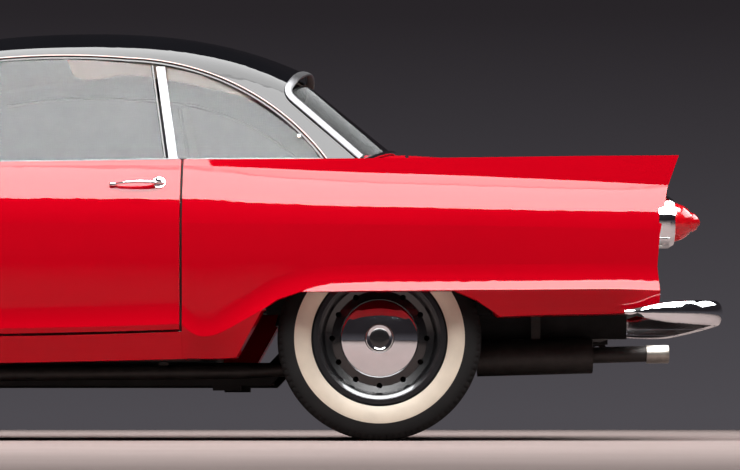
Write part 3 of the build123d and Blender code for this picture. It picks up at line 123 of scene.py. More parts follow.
def skin_y(x, z):
    """Half width of the body: a line on the fin, a parabola on the shoulder, an arc and a flare below."""
    _, bulge_y, bulge_z, shoulder_y, shoulder_z, top_y, top_z, crease_z, flare, hem_z = columns(SIDES, x)
    z = np.asarray(z, float)
    fin = shoulder_y + (top_y - shoulder_y) * (z - shoulder_z) / (top_z - shoulder_z)
    shoulder = bulge_y - (bulge_y - shoulder_y) * ((z - bulge_z) / (shoulder_z - bulge_z)) ** 2
    height = np.maximum(z, crease_z)
    side = bulge_y - (bulge_z - height) ** 2 / SIDE_CURVE
    side = side + flare * np.clip(1 - (height - crease_z) / FLARE_RISE, 0, 1) ** 2
    side = side - HEM_TUCK * np.clip((crease_z - z) / (crease_z - hem_z), 0, None)
    return np.where(z >= shoulder_z, fin, np.where(z >= bulge_z, shoulder, side))


def top_z(x):
    """Height of the body's top edge at x."""
    return columns(SIDES, x)[6]


def roof_circles(x):
    """Side line, corner circle and crown circle of the roof's section at x."""
    _, base_y, base_z, crown_r, corner_r, crest = columns(GREENS, x)
    length = math.hypot(TUMBLE, 1)
    slope_y, slope_z = -TUMBLE / length, 1 / length
    start_y = base_y - slope_z * corner_r
    start_z = base_z + slope_y * corner_r - (crest - crown_r)
    along = start_y * slope_y + start_z * slope_z
    reach = np.sqrt(along**2 - start_y**2 - start_z**2 + (crown_r - corner_r) ** 2) - along
    centre_y = start_y + slope_y * reach
    centre_z = start_z + slope_z * reach + crest - crown_r
    return base_y, base_z, centre_y, centre_z, corner_r, crest, crown_r


def roof_y(x, z):
    """Half width of the roof at height z: the leaning side, then the corner circle."""
    base_y, base_z, centre_y, centre_z, corner_r, _, _ = roof_circles(x)
    line = base_y - TUMBLE * (z - base_z)
    rise = np.clip((z - centre_z) / corner_r, -1, 1)
    circle = centre_y + corner_r * np.sqrt(1 - rise**2)
    return np.where(rise > TUMBLE / math.hypot(TUMBLE, 1), circle, line)


def roof_z(x, y):
    """Height of the roof over the half width y: the crown circle, then the corner circle."""
    _, _, centre_y, centre_z, corner_r, crest, crown_r = roof_circles(x)
    join_y = centre_y * crown_r / (crown_r - corner_r)
    crown = crest - crown_r + np.sqrt(crown_r**2 - np.minimum(y, join_y) ** 2)
    corner = centre_z + np.sqrt(np.clip(corner_r**2 - (np.maximum(y, join_y) - centre_y) ** 2, 0, None))
    return np.where(y < join_y, crown, corner)


def arc(a, b, c, count):
    """Points on the circle through a, b and c, from a to c."""
    a, b, c = (np.array(p, float) for p in (a, b, c))
    d = 2 * (a[0] * (b[1] - c[1]) + b[0] * (c[1] - a[1]) + c[0] * (a[1] - b[1]))
    sq = [p @ p for p in (a, b, c)]
    centre = np.array((sq[0] * (b[1] - c[1]) + sq[1] * (c[1] - a[1]) + sq[2] * (a[1] - b[1]),
                       sq[0] * (c[0] - b[0]) + sq[1] * (a[0] - c[0]) + sq[2] * (b[0] - a[0]))) / d
    turns = np.unwrap([math.atan2(*(p - centre)[::-1]) for p in (a, b, c)])
    angle = np.linspace(turns[0], turns[2], count)
    return centre + np.linalg.norm(a - centre) * np.stack((np.cos(angle), np.sin(angle)), 1)


def smooth(points, count):
    """Points on cubics through the given ones, with centred slopes."""
    points = np.array(points, float)
    table = np.column_stack((np.arange(len(points)), points))
    return columns(table, np.linspace(0, len(points) - 1, count))[1:].T


def quads(rows, cols, wrap_rows=False, wrap_cols=False):
    """Corner numbers of the quads of a grid, row by row."""
    r = np.arange(rows if wrap_rows else rows - 1)[:, None]
    c = np.arange(cols if wrap_cols else cols - 1)[None, :]
    r1, c1 = (r + 1) % rows, (c + 1) % cols
    corners = np.stack((r * cols + c, r * cols + c1, r1 * cols + c1, r1 * cols + c), -1)
    return corners.reshape(-1, 4).tolist()


def tube(rings):
    """Closed rings of points joined one to the next, with flat ends."""
    count, size = rings.shape[:2]
    ends = [list(range(size))[::-1], list(range((count - 1) * size, count * size))]
    return rings.reshape(-1, 3), quads(count, size, False, True) + ends


def shell(grid, depth, out):
    """A sheet of some depth: the grid, a copy moved in along the normals, and walls round the rim."""
    rows, cols = grid.shape[:2]
    normal = np.cross(np.gradient(grid, axis=0), np.gradient(grid, axis=1))
    normal /= np.linalg.norm(normal, axis=2, keepdims=True)
    normal *= np.sign(normal @ np.array(out, float))[..., None]
    points = np.concatenate((grid.reshape(-1, 3), (grid - depth * normal).reshape(-1, 3)))
    index = np.arange(rows * cols).reshape(rows, cols)
    rim = np.concatenate((index[0], index[1:, -1], index[-1, -2::-1], index[-2:0:-1, 0]))
    wall = np.stack((rim, np.roll(rim, -1), np.roll(rim, -1) + rows * cols, rim + rows * cols), 1)
    front = np.array(quads(rows, cols))
    return points, front.tolist() + (front[:, ::-1] + rows * cols).tolist() + wall[:, ::-1].tolist()


def lathe(profile, centre, axis, count):
    """A profile of (out, radius) turned about the axis through centre. Radius may end at 0."""
    profile = np.array(profile, float)
    axis = np.array(axis, float)
    side = np.cross(axis, (0, 0, 1.0))
    side /= np.linalg.norm(side)
    up = np.cross(side, axis)
    angle = np.linspace(0, 2 * math.pi, count, endpoint=False)[:, None, None]
    spoke = np.cos(angle) * side + np.sin(angle) * up
    rings = np.array(centre) + profile[None, :, :1] * axis + profile[None, :, 1:] * spoke
    return rings.reshape(-1, 3), quads(count, len(profile), True, True)


def sweep(path, section, up=(0, 0, 1), scale=None):
    """A closed section of (across, up) carried along a path, square to it and scaled along it."""
    path, section = np.array(path, float), np.array(section, float)
    along = np.gradient(path, axis=0)
    along /= np.linalg.norm(along, axis=1, keepdims=True)
    up = np.broadcast_to(np.array(up, float), path.shape)
    across = np.cross(along, up)
    across /= np.linalg.norm(across, axis=1, keepdims=True)
    rise = np.cross(across, along)
    size = np.ones(len(path)) if scale is None else np.asarray(scale)
    rings = (path[:, None] + size[:, None, None] * (section[None, :, :1] * across[:, None]
                                                    + section[None, :, 1:] * rise[:, None]))
    return tube(rings)


def oval(width, height, count, power=1.0):
    """Points round an oval; a power under 1 squares its corners."""
    angle = np.linspace(0, 2 * math.pi, count, endpoint=False)
    ring = np.stack((np.cos(angle), np.sin(angle)), 1)
    return np.array((width, height)) / 2 * np.sign(ring) * np.abs(ring) ** power


def block(centre, size, power=0.25, count=24):
    """A box with softly rounded edges: an ellipsoid whose sines and cosines are raised to a low power."""
    u = np.linspace(-math.pi / 2, math.pi / 2, count)[:, None]
    v = np.linspace(0, 2 * math.pi, 2 * count, endpoint=False)[None, :]

    def soft(value):
        return np.sign(value) * np.abs(value) ** power

    ring = soft(np.cos(u))
    points = np.stack((ring * soft(np.cos(v)), ring * soft(np.sin(v)), soft(np.sin(u)) + 0 * v), -1)
    verts = np.array(centre) + points.reshape(-1, 3) * np.array(size) / 2
    return verts, quads(count, 2 * count, False, True)


def join(*parts):
    """Several (points, faces) as one."""
    points, faces, start = [], [], 0
    for verts, polys in parts:
        points.append(verts)
        faces += [[i + start for i in poly] for poly in polys]
        start += len(verts)
    return np.concatenate(points), faces


def both(part):
    """A part and its mirror image across the car's middle."""
    verts, faces = part
    return join(part, (verts * (1, -1, 1), [poly[::-1] for poly in faces]))


def flipped(part, side):
    """A part of the left side, left as it is for side 1 and mirrored for side -1."""
    verts, faces = part
    return verts * (1, side, 1), faces


def piece(name, part, body, finish, stands_for=()):
    """A mesh piece at the origin, with merged points, outward faces, its body and finish."""
    verts, faces = part
    mesh = bpy.data.meshes.new(name)
    mesh.from_pydata((np.asarray(verts) * MM).tolist(), [], faces)
    work = bmesh.new()
    work.from_mesh(mesh)
    bmesh.ops.remove_doubles(work, verts=work.verts, dist=MERGE_GAP)
    bmesh.ops.dissolve_degenerate(work, edges=work.edges, dist=MERGE_GAP)
    bmesh.ops.recalc_face_normals(work, faces=work.faces)
    work.to_mesh(mesh)
    work.free()
    mesh.polygons.foreach_set("use_smooth", np.ones(len(mesh.polygons), bool))
    mesh.set_sharp_from_angle(angle=SHARP_EDGE)
    slot, material = finish
    mesh.materials.append(material)
    obj = bpy.data.objects.new(name, mesh)
    bpy.context.collection.objects.link(obj)
    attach(obj, body)
    if stands_for:
        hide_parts(*stands_for)
    return obj


# Materials: patch is the broad noise's scale and its share of the colour, and grain is the fine noise's
# scale and relief
COAT_ROUGHNESS, COAT_IOR = 0.025, 1.45
PATCH_DETAIL, PATCH_STOPS = 4, (0.3, 0.7)
GRAIN_DETAIL, GRAIN_DEPTH = 3, 0.001


def finish(slot, name, colour, roughness, metallic=0.0, coat=0.0, patch=(6, 0.04), grain=(300, 0.0),
           worn=0.04, transmission=0.0, ior=1.5, sheen=0.0, gloss=0.5):
    """A shader whose colour and roughness drift over broad noise, with fine noise as its relief."""
    material = bpy.data.materials.new(name)
    material.use_nodes = True
    tree = material.node_tree
    shader = tree.nodes["Principled BSDF"]
    shader.inputs["Metallic"].default_value = metallic
    shader.inputs["Coat Weight"].default_value = coat
    shader.inputs["Coat Roughness"].default_value = COAT_ROUGHNESS
    shader.inputs["Coat IOR"].default_value = COAT_IOR
    shader.inputs["Transmission Weight"].default_value = transmission
    shader.inputs["IOR"].default_value = ior
    shader.inputs["Sheen Weight"].default_value = sheen
    shader.inputs["Specular IOR Level"].default_value = gloss
    place = tree.nodes.new("ShaderNodeTexCoord")
    broad = tree.nodes.new("ShaderNodeTexNoise")
    broad.inputs["Scale"].default_value = patch[0]
    broad.inputs["Detail"].default_value = PATCH_DETAIL
    tree.links.new(place.outputs["Object"], broad.inputs["Vector"])
    ramp = tree.nodes.new("ShaderNodeValToRGB")
    for stop, share, position in zip(ramp.color_ramp.elements, (1 - patch[1], 1 + patch[1]), PATCH_STOPS):
        stop.color = (*[min(c * share, 1) for c in colour], 1)
        stop.position = position
    tree.links.new(broad.outputs["Fac"], ramp.inputs["Fac"])
    tree.links.new(ramp.outputs["Color"], shader.inputs["Base Color"])
    level = tree.nodes.new("ShaderNodeMapRange")
    level.inputs["To Min"].default_value = max(roughness - worn, 0)
    level.inputs["To Max"].default_value = roughness + worn
    tree.links.new(broad.outputs["Fac"], level.inputs["Value"])
    tree.links.new(level.outputs["Result"], shader.inputs["Roughness"])
    fine = tree.nodes.new("ShaderNodeTexNoise")
    fine.inputs["Scale"].default_value = grain[0]
    fine.inputs["Detail"].default_value = GRAIN_DETAIL
    tree.links.new(place.outputs["Object"], fine.inputs["Vector"])
    relief = tree.nodes.new("ShaderNodeBump")
    relief.inputs["Strength"].default_value = grain[1]
    relief.inputs["Distance"].default_value = GRAIN_DEPTH
    tree.links.new(fine.outputs["Fac"], relief.inputs["Height"])
    tree.links.new(relief.outputs["Normal"], shader.inputs["Normal"])
    return slot, material


RED = finish("paint_red", "red_enamel", (0.5, 0.0004, 0.008), 0.32, coat=0.45, patch=(3, 0.03),
             grain=(700, 0.004), gloss=0.0)
BLACK = finish("paint_black", "black_enamel", (0.004, 0.004, 0.005), 0.3, coat=0.5, patch=(3, 0.1),
               grain=(700, 0.004), gloss=0.0)
WHEEL = finish("wheel_black", "wheel_enamel", (0.008, 0.008, 0.009), 0.25, coat=0.8, patch=(20, 0.15),
               grain=(500, 0.01))
CHROME = finish("chrome", "plated_chrome", (0.78, 0.79, 0.81), 0.06, metallic=1.0, patch=(25, 0.02),
                grain=(400, 0.006), worn=0.03)
STEEL = finish("steel", "weathered_steel", (0.035, 0.031, 0.029), 0.5, metallic=0.6, patch=(30, 0.25),
               grain=(180, 0.15), worn=0.12)
CAST = finish("cast", "cast_metal", (0.12, 0.12, 0.125), 0.6, metallic=0.6, patch=(40, 0.25),
              grain=(220, 0.3), worn=0.1)
UNDER = finish("underbody", "underseal", (0.018, 0.017, 0.017), 0.62, patch=(14, 0.3), grain=(160, 0.4),
               worn=0.1, gloss=0.15)
GLASS = finish("glass", "window_glass", (0.86, 0.9, 0.9), 0.0, patch=(2, 0.02), transmission=1.0, ior=1.2,
               worn=0.0)
DARK_GLASS = finish("glass", "shaded_glass", (0.6, 0.62, 0.62), 0.0, patch=(2, 0.02), transmission=1.0,
                    ior=1.07, worn=0.0)
LAMP_GLASS = finish("lamp_glass", "ribbed_lamp_glass", (0.95, 0.96, 0.98), 0.03, patch=(30, 0.02),
                    transmission=0.85, grain=(60, 0.25), worn=0.02)
LENS_RED = finish("lens_red", "red_lens", (0.7, 0.001, 0.008), 0.14, coat=0.35, patch=(60, 0.08),
                  grain=(120, 0.03), transmission=0.15)
RUBBER = finish("tyre", "tyre_rubber", (0.011, 0.01, 0.01), 0.75, patch=(18, 0.2), grain=(260, 0.25),
                worn=0.08, gloss=0.1)
WHITEWALL = finish("tyre", "cream_whitewall", (0.72, 0.63, 0.51), 0.5, patch=(16, 0.06), grain=(300, 0.12),
                   gloss=0.15)
SEAL = finish("tyre", "window_rubber", (0.012, 0.012, 0.012), 0.5, patch=(40, 0.2), grain=(300, 0.15))
LEATHER = finish("seat", "cream_hide", (0.72, 0.63, 0.49), 0.46, patch=(12, 0.07), grain=(420, 0.35),
                 worn=0.08, sheen=0.1)
RED_HIDE = finish("seat", "red_hide", (0.3, 0.012, 0.014), 0.46, patch=(12, 0.1), grain=(420, 0.35),
                  worn=0.08)
CARPET = finish("seat", "loop_carpet", (0.09, 0.008, 0.009), 0.95, patch=(60, 0.3), grain=(900, 0.9),
                gloss=0.1)
LINING = finish("trim", "roof_cloth", (0.36, 0.345, 0.32), 0.85, patch=(30, 0.06), grain=(1200, 0.5),
                sheen=0.2)
SATIN = finish("chrome", "satin_strip", (0.075, 0.075, 0.078), 0.42, metallic=0.9, patch=(25, 0.04),
               grain=(400, 0.02))
# Drip rails: dark metal whose warm red-brown tint is a painted reflection of the red body and the ground
# below them
RAIL_REFLECTION_TINT = finish("chrome", "rail_painted_reflection", (0.1, 0.07, 0.065), 0.3, metallic=0.9, patch=(25, 0.1),
              grain=(400, 0.02))
BRUSHED = finish("steel", "bright_pipe", (0.3, 0.28, 0.25), 0.35, metallic=1.0, patch=(40, 0.2),
                 grain=(300, 0.1))
AMBER = finish("lamp_glass", "amber_lens", (0.6, 0.2, 0.02), 0.12, coat=1.0, patch=(60, 0.1),
               grain=(120, 0.08))
IVORY = finish("trim", "ivory_plastic", (0.74, 0.68, 0.55), 0.25, coat=0.4, patch=(20, 0.05),
               grain=(200, 0.02))
FINISHES = {item[0]: item for item in (RED, BLACK, WHEEL, CHROME, STEEL, CAST, UNDER, GLASS, LAMP_GLASS,
                                       LENS_RED, RUBBER, LEATHER, IVORY)}
for row in frame["record"]["subparts"]:
    node = nodes[row["node"]]
    node.data.materials.clear()
    node.data.materials.append(FINISHES[row["material_slot"]][1])
nodes["b_strips"].data.materials[0] = SATIN[1]
nodes["rear_window"].data.materials[0] = DARK_GLASS[1]

# Wheels: a tyre turned from a smooth profile, a cream band, a bright cap with a plain black middle
TYRE_HALF = ((57, 208), (63, 214), (70, 232), (73, 252), (72, 272), (67, 293), (61, 306), (55, 313.5))
TREAD = ((50, 316.5), (39, 318.8), (38, 313), (34, 313), (33, 319.2), (17, 319.8), (16, 314), (12, 314),
         (11, 320))
BEAD = ((-50, 211), (50, 211))
BLOCKS, BLOCK_STEPS, BLOCK_CUT = 96, 4, 0.011
SHOULDER_OUT, SHOULDER_R = 40, 304
BAND_FROM_R, BAND_TO_R = 212.5, 267
CORNERS = {
    "front_left": (FRONT_AXLE_X, FRONT_WHEEL_Y, 1),
    "front_right": (FRONT_AXLE_X, -FRONT_WHEEL_Y, -1),
    "rear_left": (REAR_AXLE_X, REAR_WHEEL_Y, 1),
    "rear_right": (REAR_AXLE_X, -REAR_WHEEL_Y, -1),
}


def tyre_part(centre, axis):
    """The tyre's profile turned about its axle, its shoulders cut into blocks by a square wave."""
    half = np.concatenate((smooth(TYRE_HALF, 22), TREAD))
    profile = np.concatenate((half, half[::-1] * (-1, 1), BEAD))
    steps = BLOCKS * BLOCK_STEPS
    verts, faces = lathe(profile, (0, 0, 0), (0, 1, 0), steps)
    grid = verts.reshape(steps, len(profile), 3)
    shoulder = (np.abs(profile[:, 0]) > SHOULDER_OUT) & (profile[:, 1] > SHOULDER_R)
    groove = np.arange(steps) % BLOCK_STEPS == 0
    cut = 1 - BLOCK_CUT * (groove[:, None] & shoulder[None, :])
    grid = grid * np.stack((cut, np.ones_like(cut), cut), -1)
    return grid.reshape(-1, 3) * (1, axis, 1) + np.array(centre), faces


def band_part(centre, axis):
    """The cream band: the tyre's side between two radii, moved out a little and closed behind."""
    side = smooth(TYRE_HALF, 60)
    side = side[(side[:, 1] > BAND_FROM_R) & (side[:, 1] < BAND_TO_R)]
    face = side + (1.0, 0)
    inner_rim, outer_rim = face[:1] - (1.5, 0.6), face[-1:] + (-1.6, 0.6)
    profile = np.concatenate((inner_rim, face, outer_rim, side[::-1] - (2.0, 0)))
    return lathe(profile * (axis, 1), centre, (0, 1, 0), 160)


CAP_PROFILE = ((30, CAP_R - 6), (31, CAP_R + 1), (35, CAP_R + 2), (38, CAP_R), (41.5, 112), (47, 101),
               (53, 86), (58, 70), (61.5, 56), (63.5, 46), (67, 43.5), (69, 41), (69, 38), (67.5, 34),
               (66.5, 31), (66.4, 12), (66.4, 0), (60, 0), (40, CAP_R - 30))
DISC_PROFILE = ((66.6, 0), (69.2, 0), (69, 12), (68.4, 22), (67.6, 28), (66.6, 30.2))
for corner, (x, y, side) in CORNERS.items():
    body = "wheel_" + corner
    centre = (x, y, WHEEL_R)
    piece("tyre_tread_" + corner, tyre_part(centre, side), body, RUBBER, ("tyre_" + corner,))
    piece("whitewall_" + corner, band_part(centre, side), body, WHITEWALL)
    cap = np.array(CAP_PROFILE) * (side, 1)
    piece("hubcap_" + corner, lathe(cap, centre, (0, 1, 0), 120), body, CHROME)
    disc = np.array(DISC_PROFILE) * (side, 1)
    piece("cap_disc_" + corner, lathe(disc, centre, (0, 1, 0), 64), body, WHEEL)

# Bright trim round the glass
GLASS_FACE = (0, 1, 0.49)
BELT_SECTION = oval(6, 13, 12, 0.6)
BELT_OUT, BELT_LIFT = 7, 1
QUARTER_BELT_END_X = -812


def window_path(out, sink):
    """The side window's top curve on the roof's side, moved out from the skin and into the opening."""
    curve = np.concatenate((arc(*WINDOW_ARCS[0], 60), arc(*WINDOW_ARCS[1], 90)[1:]))
    along = np.gradient(curve, axis=0)
    along /= np.linalg.norm(along, axis=1, keepdims=True)
    curve = curve + sink * np.stack((-along[:, 1], along[:, 0]), 1)
    return np.column_stack((curve[:, 0], roof_y(curve[:, 0], curve[:, 1]) + out, curve[:, 1]))


# Drip rails in the tinted metal, whose colour is a painted reflection of the red body
piece("drip_rails", both(sweep(window_path(1, -2), oval(6, 9, 12, 0.8), GLASS_FACE)), "body", RAIL_REFLECTION_TINT)
piece("window_seals", both(sweep(window_path(-7, 8), oval(9, 12, 12, 0.6), GLASS_FACE)), "body", SEAL)


def belt_strip(start, end):
    """A strip along the foot of the side glass between two stations."""
    x = np.linspace(start, end, 50)
    z = top_z(x) + BELT_LIFT
    return sweep(np.column_stack((x, roof_y(x, z) + BELT_OUT, z)), BELT_SECTION)


DOOR_BELT = belt_strip(DOOR_FRONT_X - 8, DOOR_REAR_X + 6)
for side, name in HANDS:
    piece("belt_strip_" + name, flipped(DOOR_BELT, side), "door_" + name, SATIN)
QUARTER_BELT = belt_strip(QUARTER_FRONT_X - 6, QUARTER_BELT_END_X)
piece("quarter_belt_strips", both(QUARTER_BELT), "body", SATIN)
EDGE_POINTS, EDGE_EASE = 240, 4


def pane_side(foot, corner, slope, out):
    """The edge of a bowed pane: up the pillar to its corner, then over the roof to the middle."""
    t = np.linspace(0, 1, 30)[:, None]
    pillar = np.array(foot) + t * (np.array(corner) - np.array(foot))
    y = roof_y(pillar[:, 0], pillar[:, 1])
    across = np.linspace(y[-1], 0, 50)[1:]
    x = np.full(len(across), float(corner[0]))
    for _ in range(4):
        z = roof_z(x, across)
        x = corner[0] + slope * (z - corner[1])
    return np.concatenate((np.column_stack((pillar[:, 0], y + out, pillar[:, 1])),
                           np.column_stack((x, across, z + out))))


def mirrored_path(half):
    """A path carried on to the other side, spaced evenly, its corners eased by averaging along it."""
    path = np.concatenate((half, half[-2::-1] * (1, -1, 1)))
    walked = np.concatenate(((0,), np.cumsum(np.linalg.norm(np.diff(path, axis=0), axis=1))))
    even = np.linspace(0, walked[-1], EDGE_POINTS)
    path = np.stack([np.interp(even, walked, path[:, k]) for k in range(3)], 1)
    near = np.arange(EDGE_POINTS)[:, None] + np.arange(-EDGE_EASE, EDGE_EASE + 1)
    return path[np.clip(near, 0, EDGE_POINTS - 1)].mean(1)


def pane_foot(foot, base):
    """The lower edge of a bowed pane: a parabola from side to side."""
    t = np.linspace(1, -1, 60)
    edge = roof_y(np.array(float(foot[0])), np.array(float(foot[1]))) - 6
    x = foot[0] + (base[0] - foot[0]) * (1 - t**2)
    z = foot[1] + (base[1] - foot[1]) * (1 - t**2)
    return np.column_stack((x, t * edge, z))


TRIM_OUT, REAR_HALF_WIDTH = 2, 620
REAR_EDGE = mirrored_path(pane_side((-938, 886), REAR_CORNER, REAR_SLOPE, TRIM_OUT))
REAR_ACROSS = REAR_EDGE[:, 1] / REAR_HALF_WIDTH
REAR_FACE = np.column_stack((np.full(EDGE_POINTS, -0.3), REAR_ACROSS, 0.9 - 0.4 * np.abs(REAR_ACROSS)))
piece("rear_window_trim", sweep(REAR_EDGE - (5, 0, 0), oval(26, 12, 14, 0.7), REAR_FACE), "body", SATIN)
REAR_FOOT_PATH = pane_foot(REAR_FOOT, REAR_BASE) - (8, 0, 2)
piece("rear_window_foot_trim", sweep(REAR_FOOT_PATH, oval(16, 14, 14, 0.7)), "body", CHROME)
FRONT_EDGE = mirrored_path(pane_side((710, 874), WINDSCREEN_CORNER, WINDSCREEN_SLOPE, TRIM_OUT))
FRONT_FACE = (0.75, 0, 0.66)
piece("windscreen_trim", sweep(FRONT_EDGE + (5, 0, 0), oval(18, 12, 14, 0.7), FRONT_FACE), "body", CHROME)
FRONT_FOOT_PATH = pane_foot(WINDSCREEN_FOOT, WINDSCREEN_BASE) + (8, 0, 0)
piece("windscreen_foot_trim", sweep(FRONT_FOOT_PATH, oval(14, 16, 14, 0.7)), "body", SEAL)

# Door handles: an arched bar between a pointed front foot and an oval plate with a round button
HANDLE_FRONT, HANDLE_REAR, HANDLE_Z = -166, -322, 794
HANDLE_ARCH, HANDLE_RISE = 24, 5
PLATE_X, PLATE_Z, PLATE_FACE = -311, 799, (0, 0.93, 0.37)
PLATE_PROFILE = ((-6, 0), (2, 0), (4, 14), (3, 19), (0, 21), (-6, 21))
BUTTON_PROFILE = ((0, 0), (24, 0), (23, 7), (20, 10.5), (0, 11))


def handle_part():
    """A tapered bar on a flat arch, two feet and a button, all set on the door's skin."""
    t = np.linspace(0, 1, 60)
    x = HANDLE_FRONT + (HANDLE_REAR - HANDLE_FRONT) * t
    z = HANDLE_Z + HANDLE_RISE * np.sin(math.pi * t) + 4 * t
    arch = HANDLE_ARCH * np.sin(math.pi * t) ** 0.55
    bar = sweep(np.column_stack((x, skin_y(x, z) + 1 + arch, z)), oval(9, 14, 14, 0.8), (0, 1, 0),
                scale=0.45 + 0.75 * t**0.6)
    plate_y = float(skin_y(PLATE_X - 1, PLATE_Z - 1))
    plate = lathe(PLATE_PROFILE, (PLATE_X, plate_y, PLATE_Z), PLATE_FACE, 40)
    button = lathe(BUTTON_PROFILE, (PLATE_X, plate_y, PLATE_Z + 2), PLATE_FACE, 36)
    foot = block((HANDLE_FRONT - 3, plate_y + 8, HANDLE_Z), (24, 16, 11), 0.6, 14)
    return join(bar, plate, button, foot)


HANDLE = handle_part()
for side, name in HANDS:
    piece("handle_" + name, flipped(HANDLE, side), "door_" + name, CHROME)

# Lamps
AHEAD, BEHIND = (1, 0, 0), (-1, 0, 0)
TAIL_X, TAIL_LAMP_Y, TAIL_LAMP_Z = -1856, 700, 684
LAMP_X, LAMP_Y, LAMP_Z = 1961, 638, 672


def tail_lens():
    """A dome, then a smaller dome stepped out of it, turned about a level axis."""
    dome = arc((58, 61.7), (88, 53.7), (111, 37.7), 40)
    tip = arc((112, 33), (134, 21), (146, 0), 30)
    profile = np.concatenate((((24, 0), (24, 61.5)), dome, tip[:-1], ((146, 0),)))
    return lathe(profile, (TAIL_X, TAIL_LAMP_Y, TAIL_LAMP_Z), BEHIND, 72)


piece("tail_lenses", both(tail_lens()), "body", LENS_RED, ("tail_lamps",))
LENS_OUT = smooth(((-1, 91.5), (6, 84), (12, 67), (17, 42), (19.5, 18), (20, 0)), 24)
LENS_PROFILE = np.concatenate((LENS_OUT, LENS_OUT[::-1] * (1, 0.96) - (4, 0)))
BOWL = smooth(((-4, 90), (-28, 80), (-52, 54), (-64, 22), (-66, 0)), 24)
BOWL_PROFILE = np.concatenate((BOWL, BOWL[::-1] * (1, 1.02) - (3, 0)))
BULB_PROFILE = ((-62, 0), (-62, 9), (-44, 12), (-30, 14), (-20, 12), (-14, 6), (-13, 0))
HEAD = (LAMP_X, LAMP_Y, LAMP_Z)
piece("headlamp_lenses", both(lathe(LENS_PROFILE, HEAD, AHEAD, 96)), "body", LAMP_GLASS, ("headlamps",))
piece("headlamp_bowls", both(lathe(BOWL_PROFILE, HEAD, AHEAD, 72)), "body", CHROME)
piece("headlamp_bulbs", both(lathe(BULB_PROFILE, HEAD, AHEAD, 32)), "body", IVORY)
SIDE_LAMP = (1955, 610, 500)
SIDE_LENS_PROFILE = ((0, 0), (0, 26), (6, 25), (13, 19), (18, 9), (19, 0))
SIDE_RIM_PROFILE = ((0, 26), (9, 26.5), (9, 29), (5, 33), (0, 34))
piece("side_lamps", both(lathe(SIDE_LENS_PROFILE, SIDE_LAMP, AHEAD, 48)), "body", AMBER)
piece("side_lamp_rims", both(lathe(SIDE_RIM_PROFILE, SIDE_LAMP, AHEAD, 48)), "body", CHROME)

# The exhaust's bright tip
PIPE_Y, PIPE_Z, PIPE_TIP_X = 440, 276, -1860
PIPE_TIP_PROFILE = ((-4, 23), (-4, 29.5), (66, 29.5), (68, 28.5), (-2, 23))
PIPE_TIP = lathe(PIPE_TIP_PROFILE, (PIPE_TIP_X, PIPE_Y, PIPE_Z), BEHIND, 48)
piece("exhaust_tip", PIPE_TIP, "body", BRUSHED)

# Dark tubes along the bumpers' inner faces, painted shade where the blades' backs fall dark: x beyond the
# tips, half width, turn, height, depth
BLADES = np.array((
    (0, 806, 0, 12, 8),
    (100, 812, 2, 54, 30),
    (200, 803, 12, 74, 40),
    (276, 742, 50, 78, 44),
    (304, 636, 82, 78, 44),
    (308, 500, 88, 78, 44),
    (310, 0, 90, 80, 44),
), float)
TIP_X = 1753
REAR_BUMPER, FRONT_BUMPER = (-1, 398), (1, 372)


def blade_shade_tube(end, height):
    """Ellipses set into the inner face of a bumper's blade, carried round it from tip to tip: a dark tube
    that paints the shade on the blade's back.
    """
    x, y, turn, tall, deep = smooth(BLADES, 90).T
    turn = np.radians(turn)
    angle = np.linspace(0, 2 * math.pi, 20, endpoint=False)
    inward = (0.24 * deep)[:, None] + (0.29 * deep)[:, None] * np.cos(angle)
    rings = np.stack((end * (TIP_X + x[:, None] - np.sin(turn)[:, None] * inward),
                      y[:, None] - np.cos(turn)[:, None] * inward,
                      height + (0.44 * tall)[:, None] * np.sin(angle)), -1)
    return tube(np.concatenate((rings, rings[-2::-1] * (1, -1, 1))))


# The dark tubes paint the shade behind both bumpers' blades
piece("bumper_back_shade", join(blade_shade_tube(*REAR_BUMPER), blade_shade_tube(*FRONT_BUMPER)), "body", UNDER)

# Boot handle, catches of the quarter windows, rubber edges and splash panels
BOOT_HANDLE_X, BOOT_HANDLE_Z, BOOT_HANDLE_HALF = -1822, 818, 75


def boot_handle():
    """A bar bowed back and up between its ends, thicker in the middle."""
    t = np.linspace(-1, 1, 40)
    path = np.column_stack((BOOT_HANDLE_X - 10 * (1 - t**2), BOOT_HANDLE_HALF * t,
                            BOOT_HANDLE_Z + 12 * (1 - t**4)))
    return sweep(path, oval(12, 14, 14, 0.8), scale=1.1 - 0.5 * t**2)


piece("boot_handle", boot_handle(), "boot_lid", CHROME)
KNOB_X, KNOB_Z, KNOB_FACE = -741, 958, (0, 0.9, 0.436)
KNOB_PROFILE = ((-2, 0), (-2, 6), (4, 6), (7, 4), (8, 0))
KNOB = lathe(KNOB_PROFILE, (KNOB_X, float(roof_y(KNOB_X, KNOB_Z)), KNOB_Z), KNOB_FACE, 24)
piece("window_knobs", both(KNOB), "body", CHROME)
GLASS_REAR_X, GLASS_FOOT_Z, GLASS_LEAN = -324, 876, 0.1734
GLASS_EDGE_FROM_Z, GLASS_EDGE_TO_Z = 884, 1194


def glass_edge():
    """A rubber edge up the rear of the door's glass, leaning with it."""
    z = np.linspace(GLASS_EDGE_FROM_Z, GLASS_EDGE_TO_Z, 30)
    x = GLASS_REAR_X + GLASS_LEAN * (z - GLASS_FOOT_Z)
    return sweep(np.column_stack((x, roof_y(x, z) - 3, z)), oval(8, 9, 12, 0.7), GLASS_FACE)


EDGE = glass_edge()
for side, name in HANDS:
    piece("glass_edge_" + name, flipped(EDGE, side), "door_" + name, SEAL)

DOOR_HEM, GAP, SEAL_DEPTH = 16, 8, 22


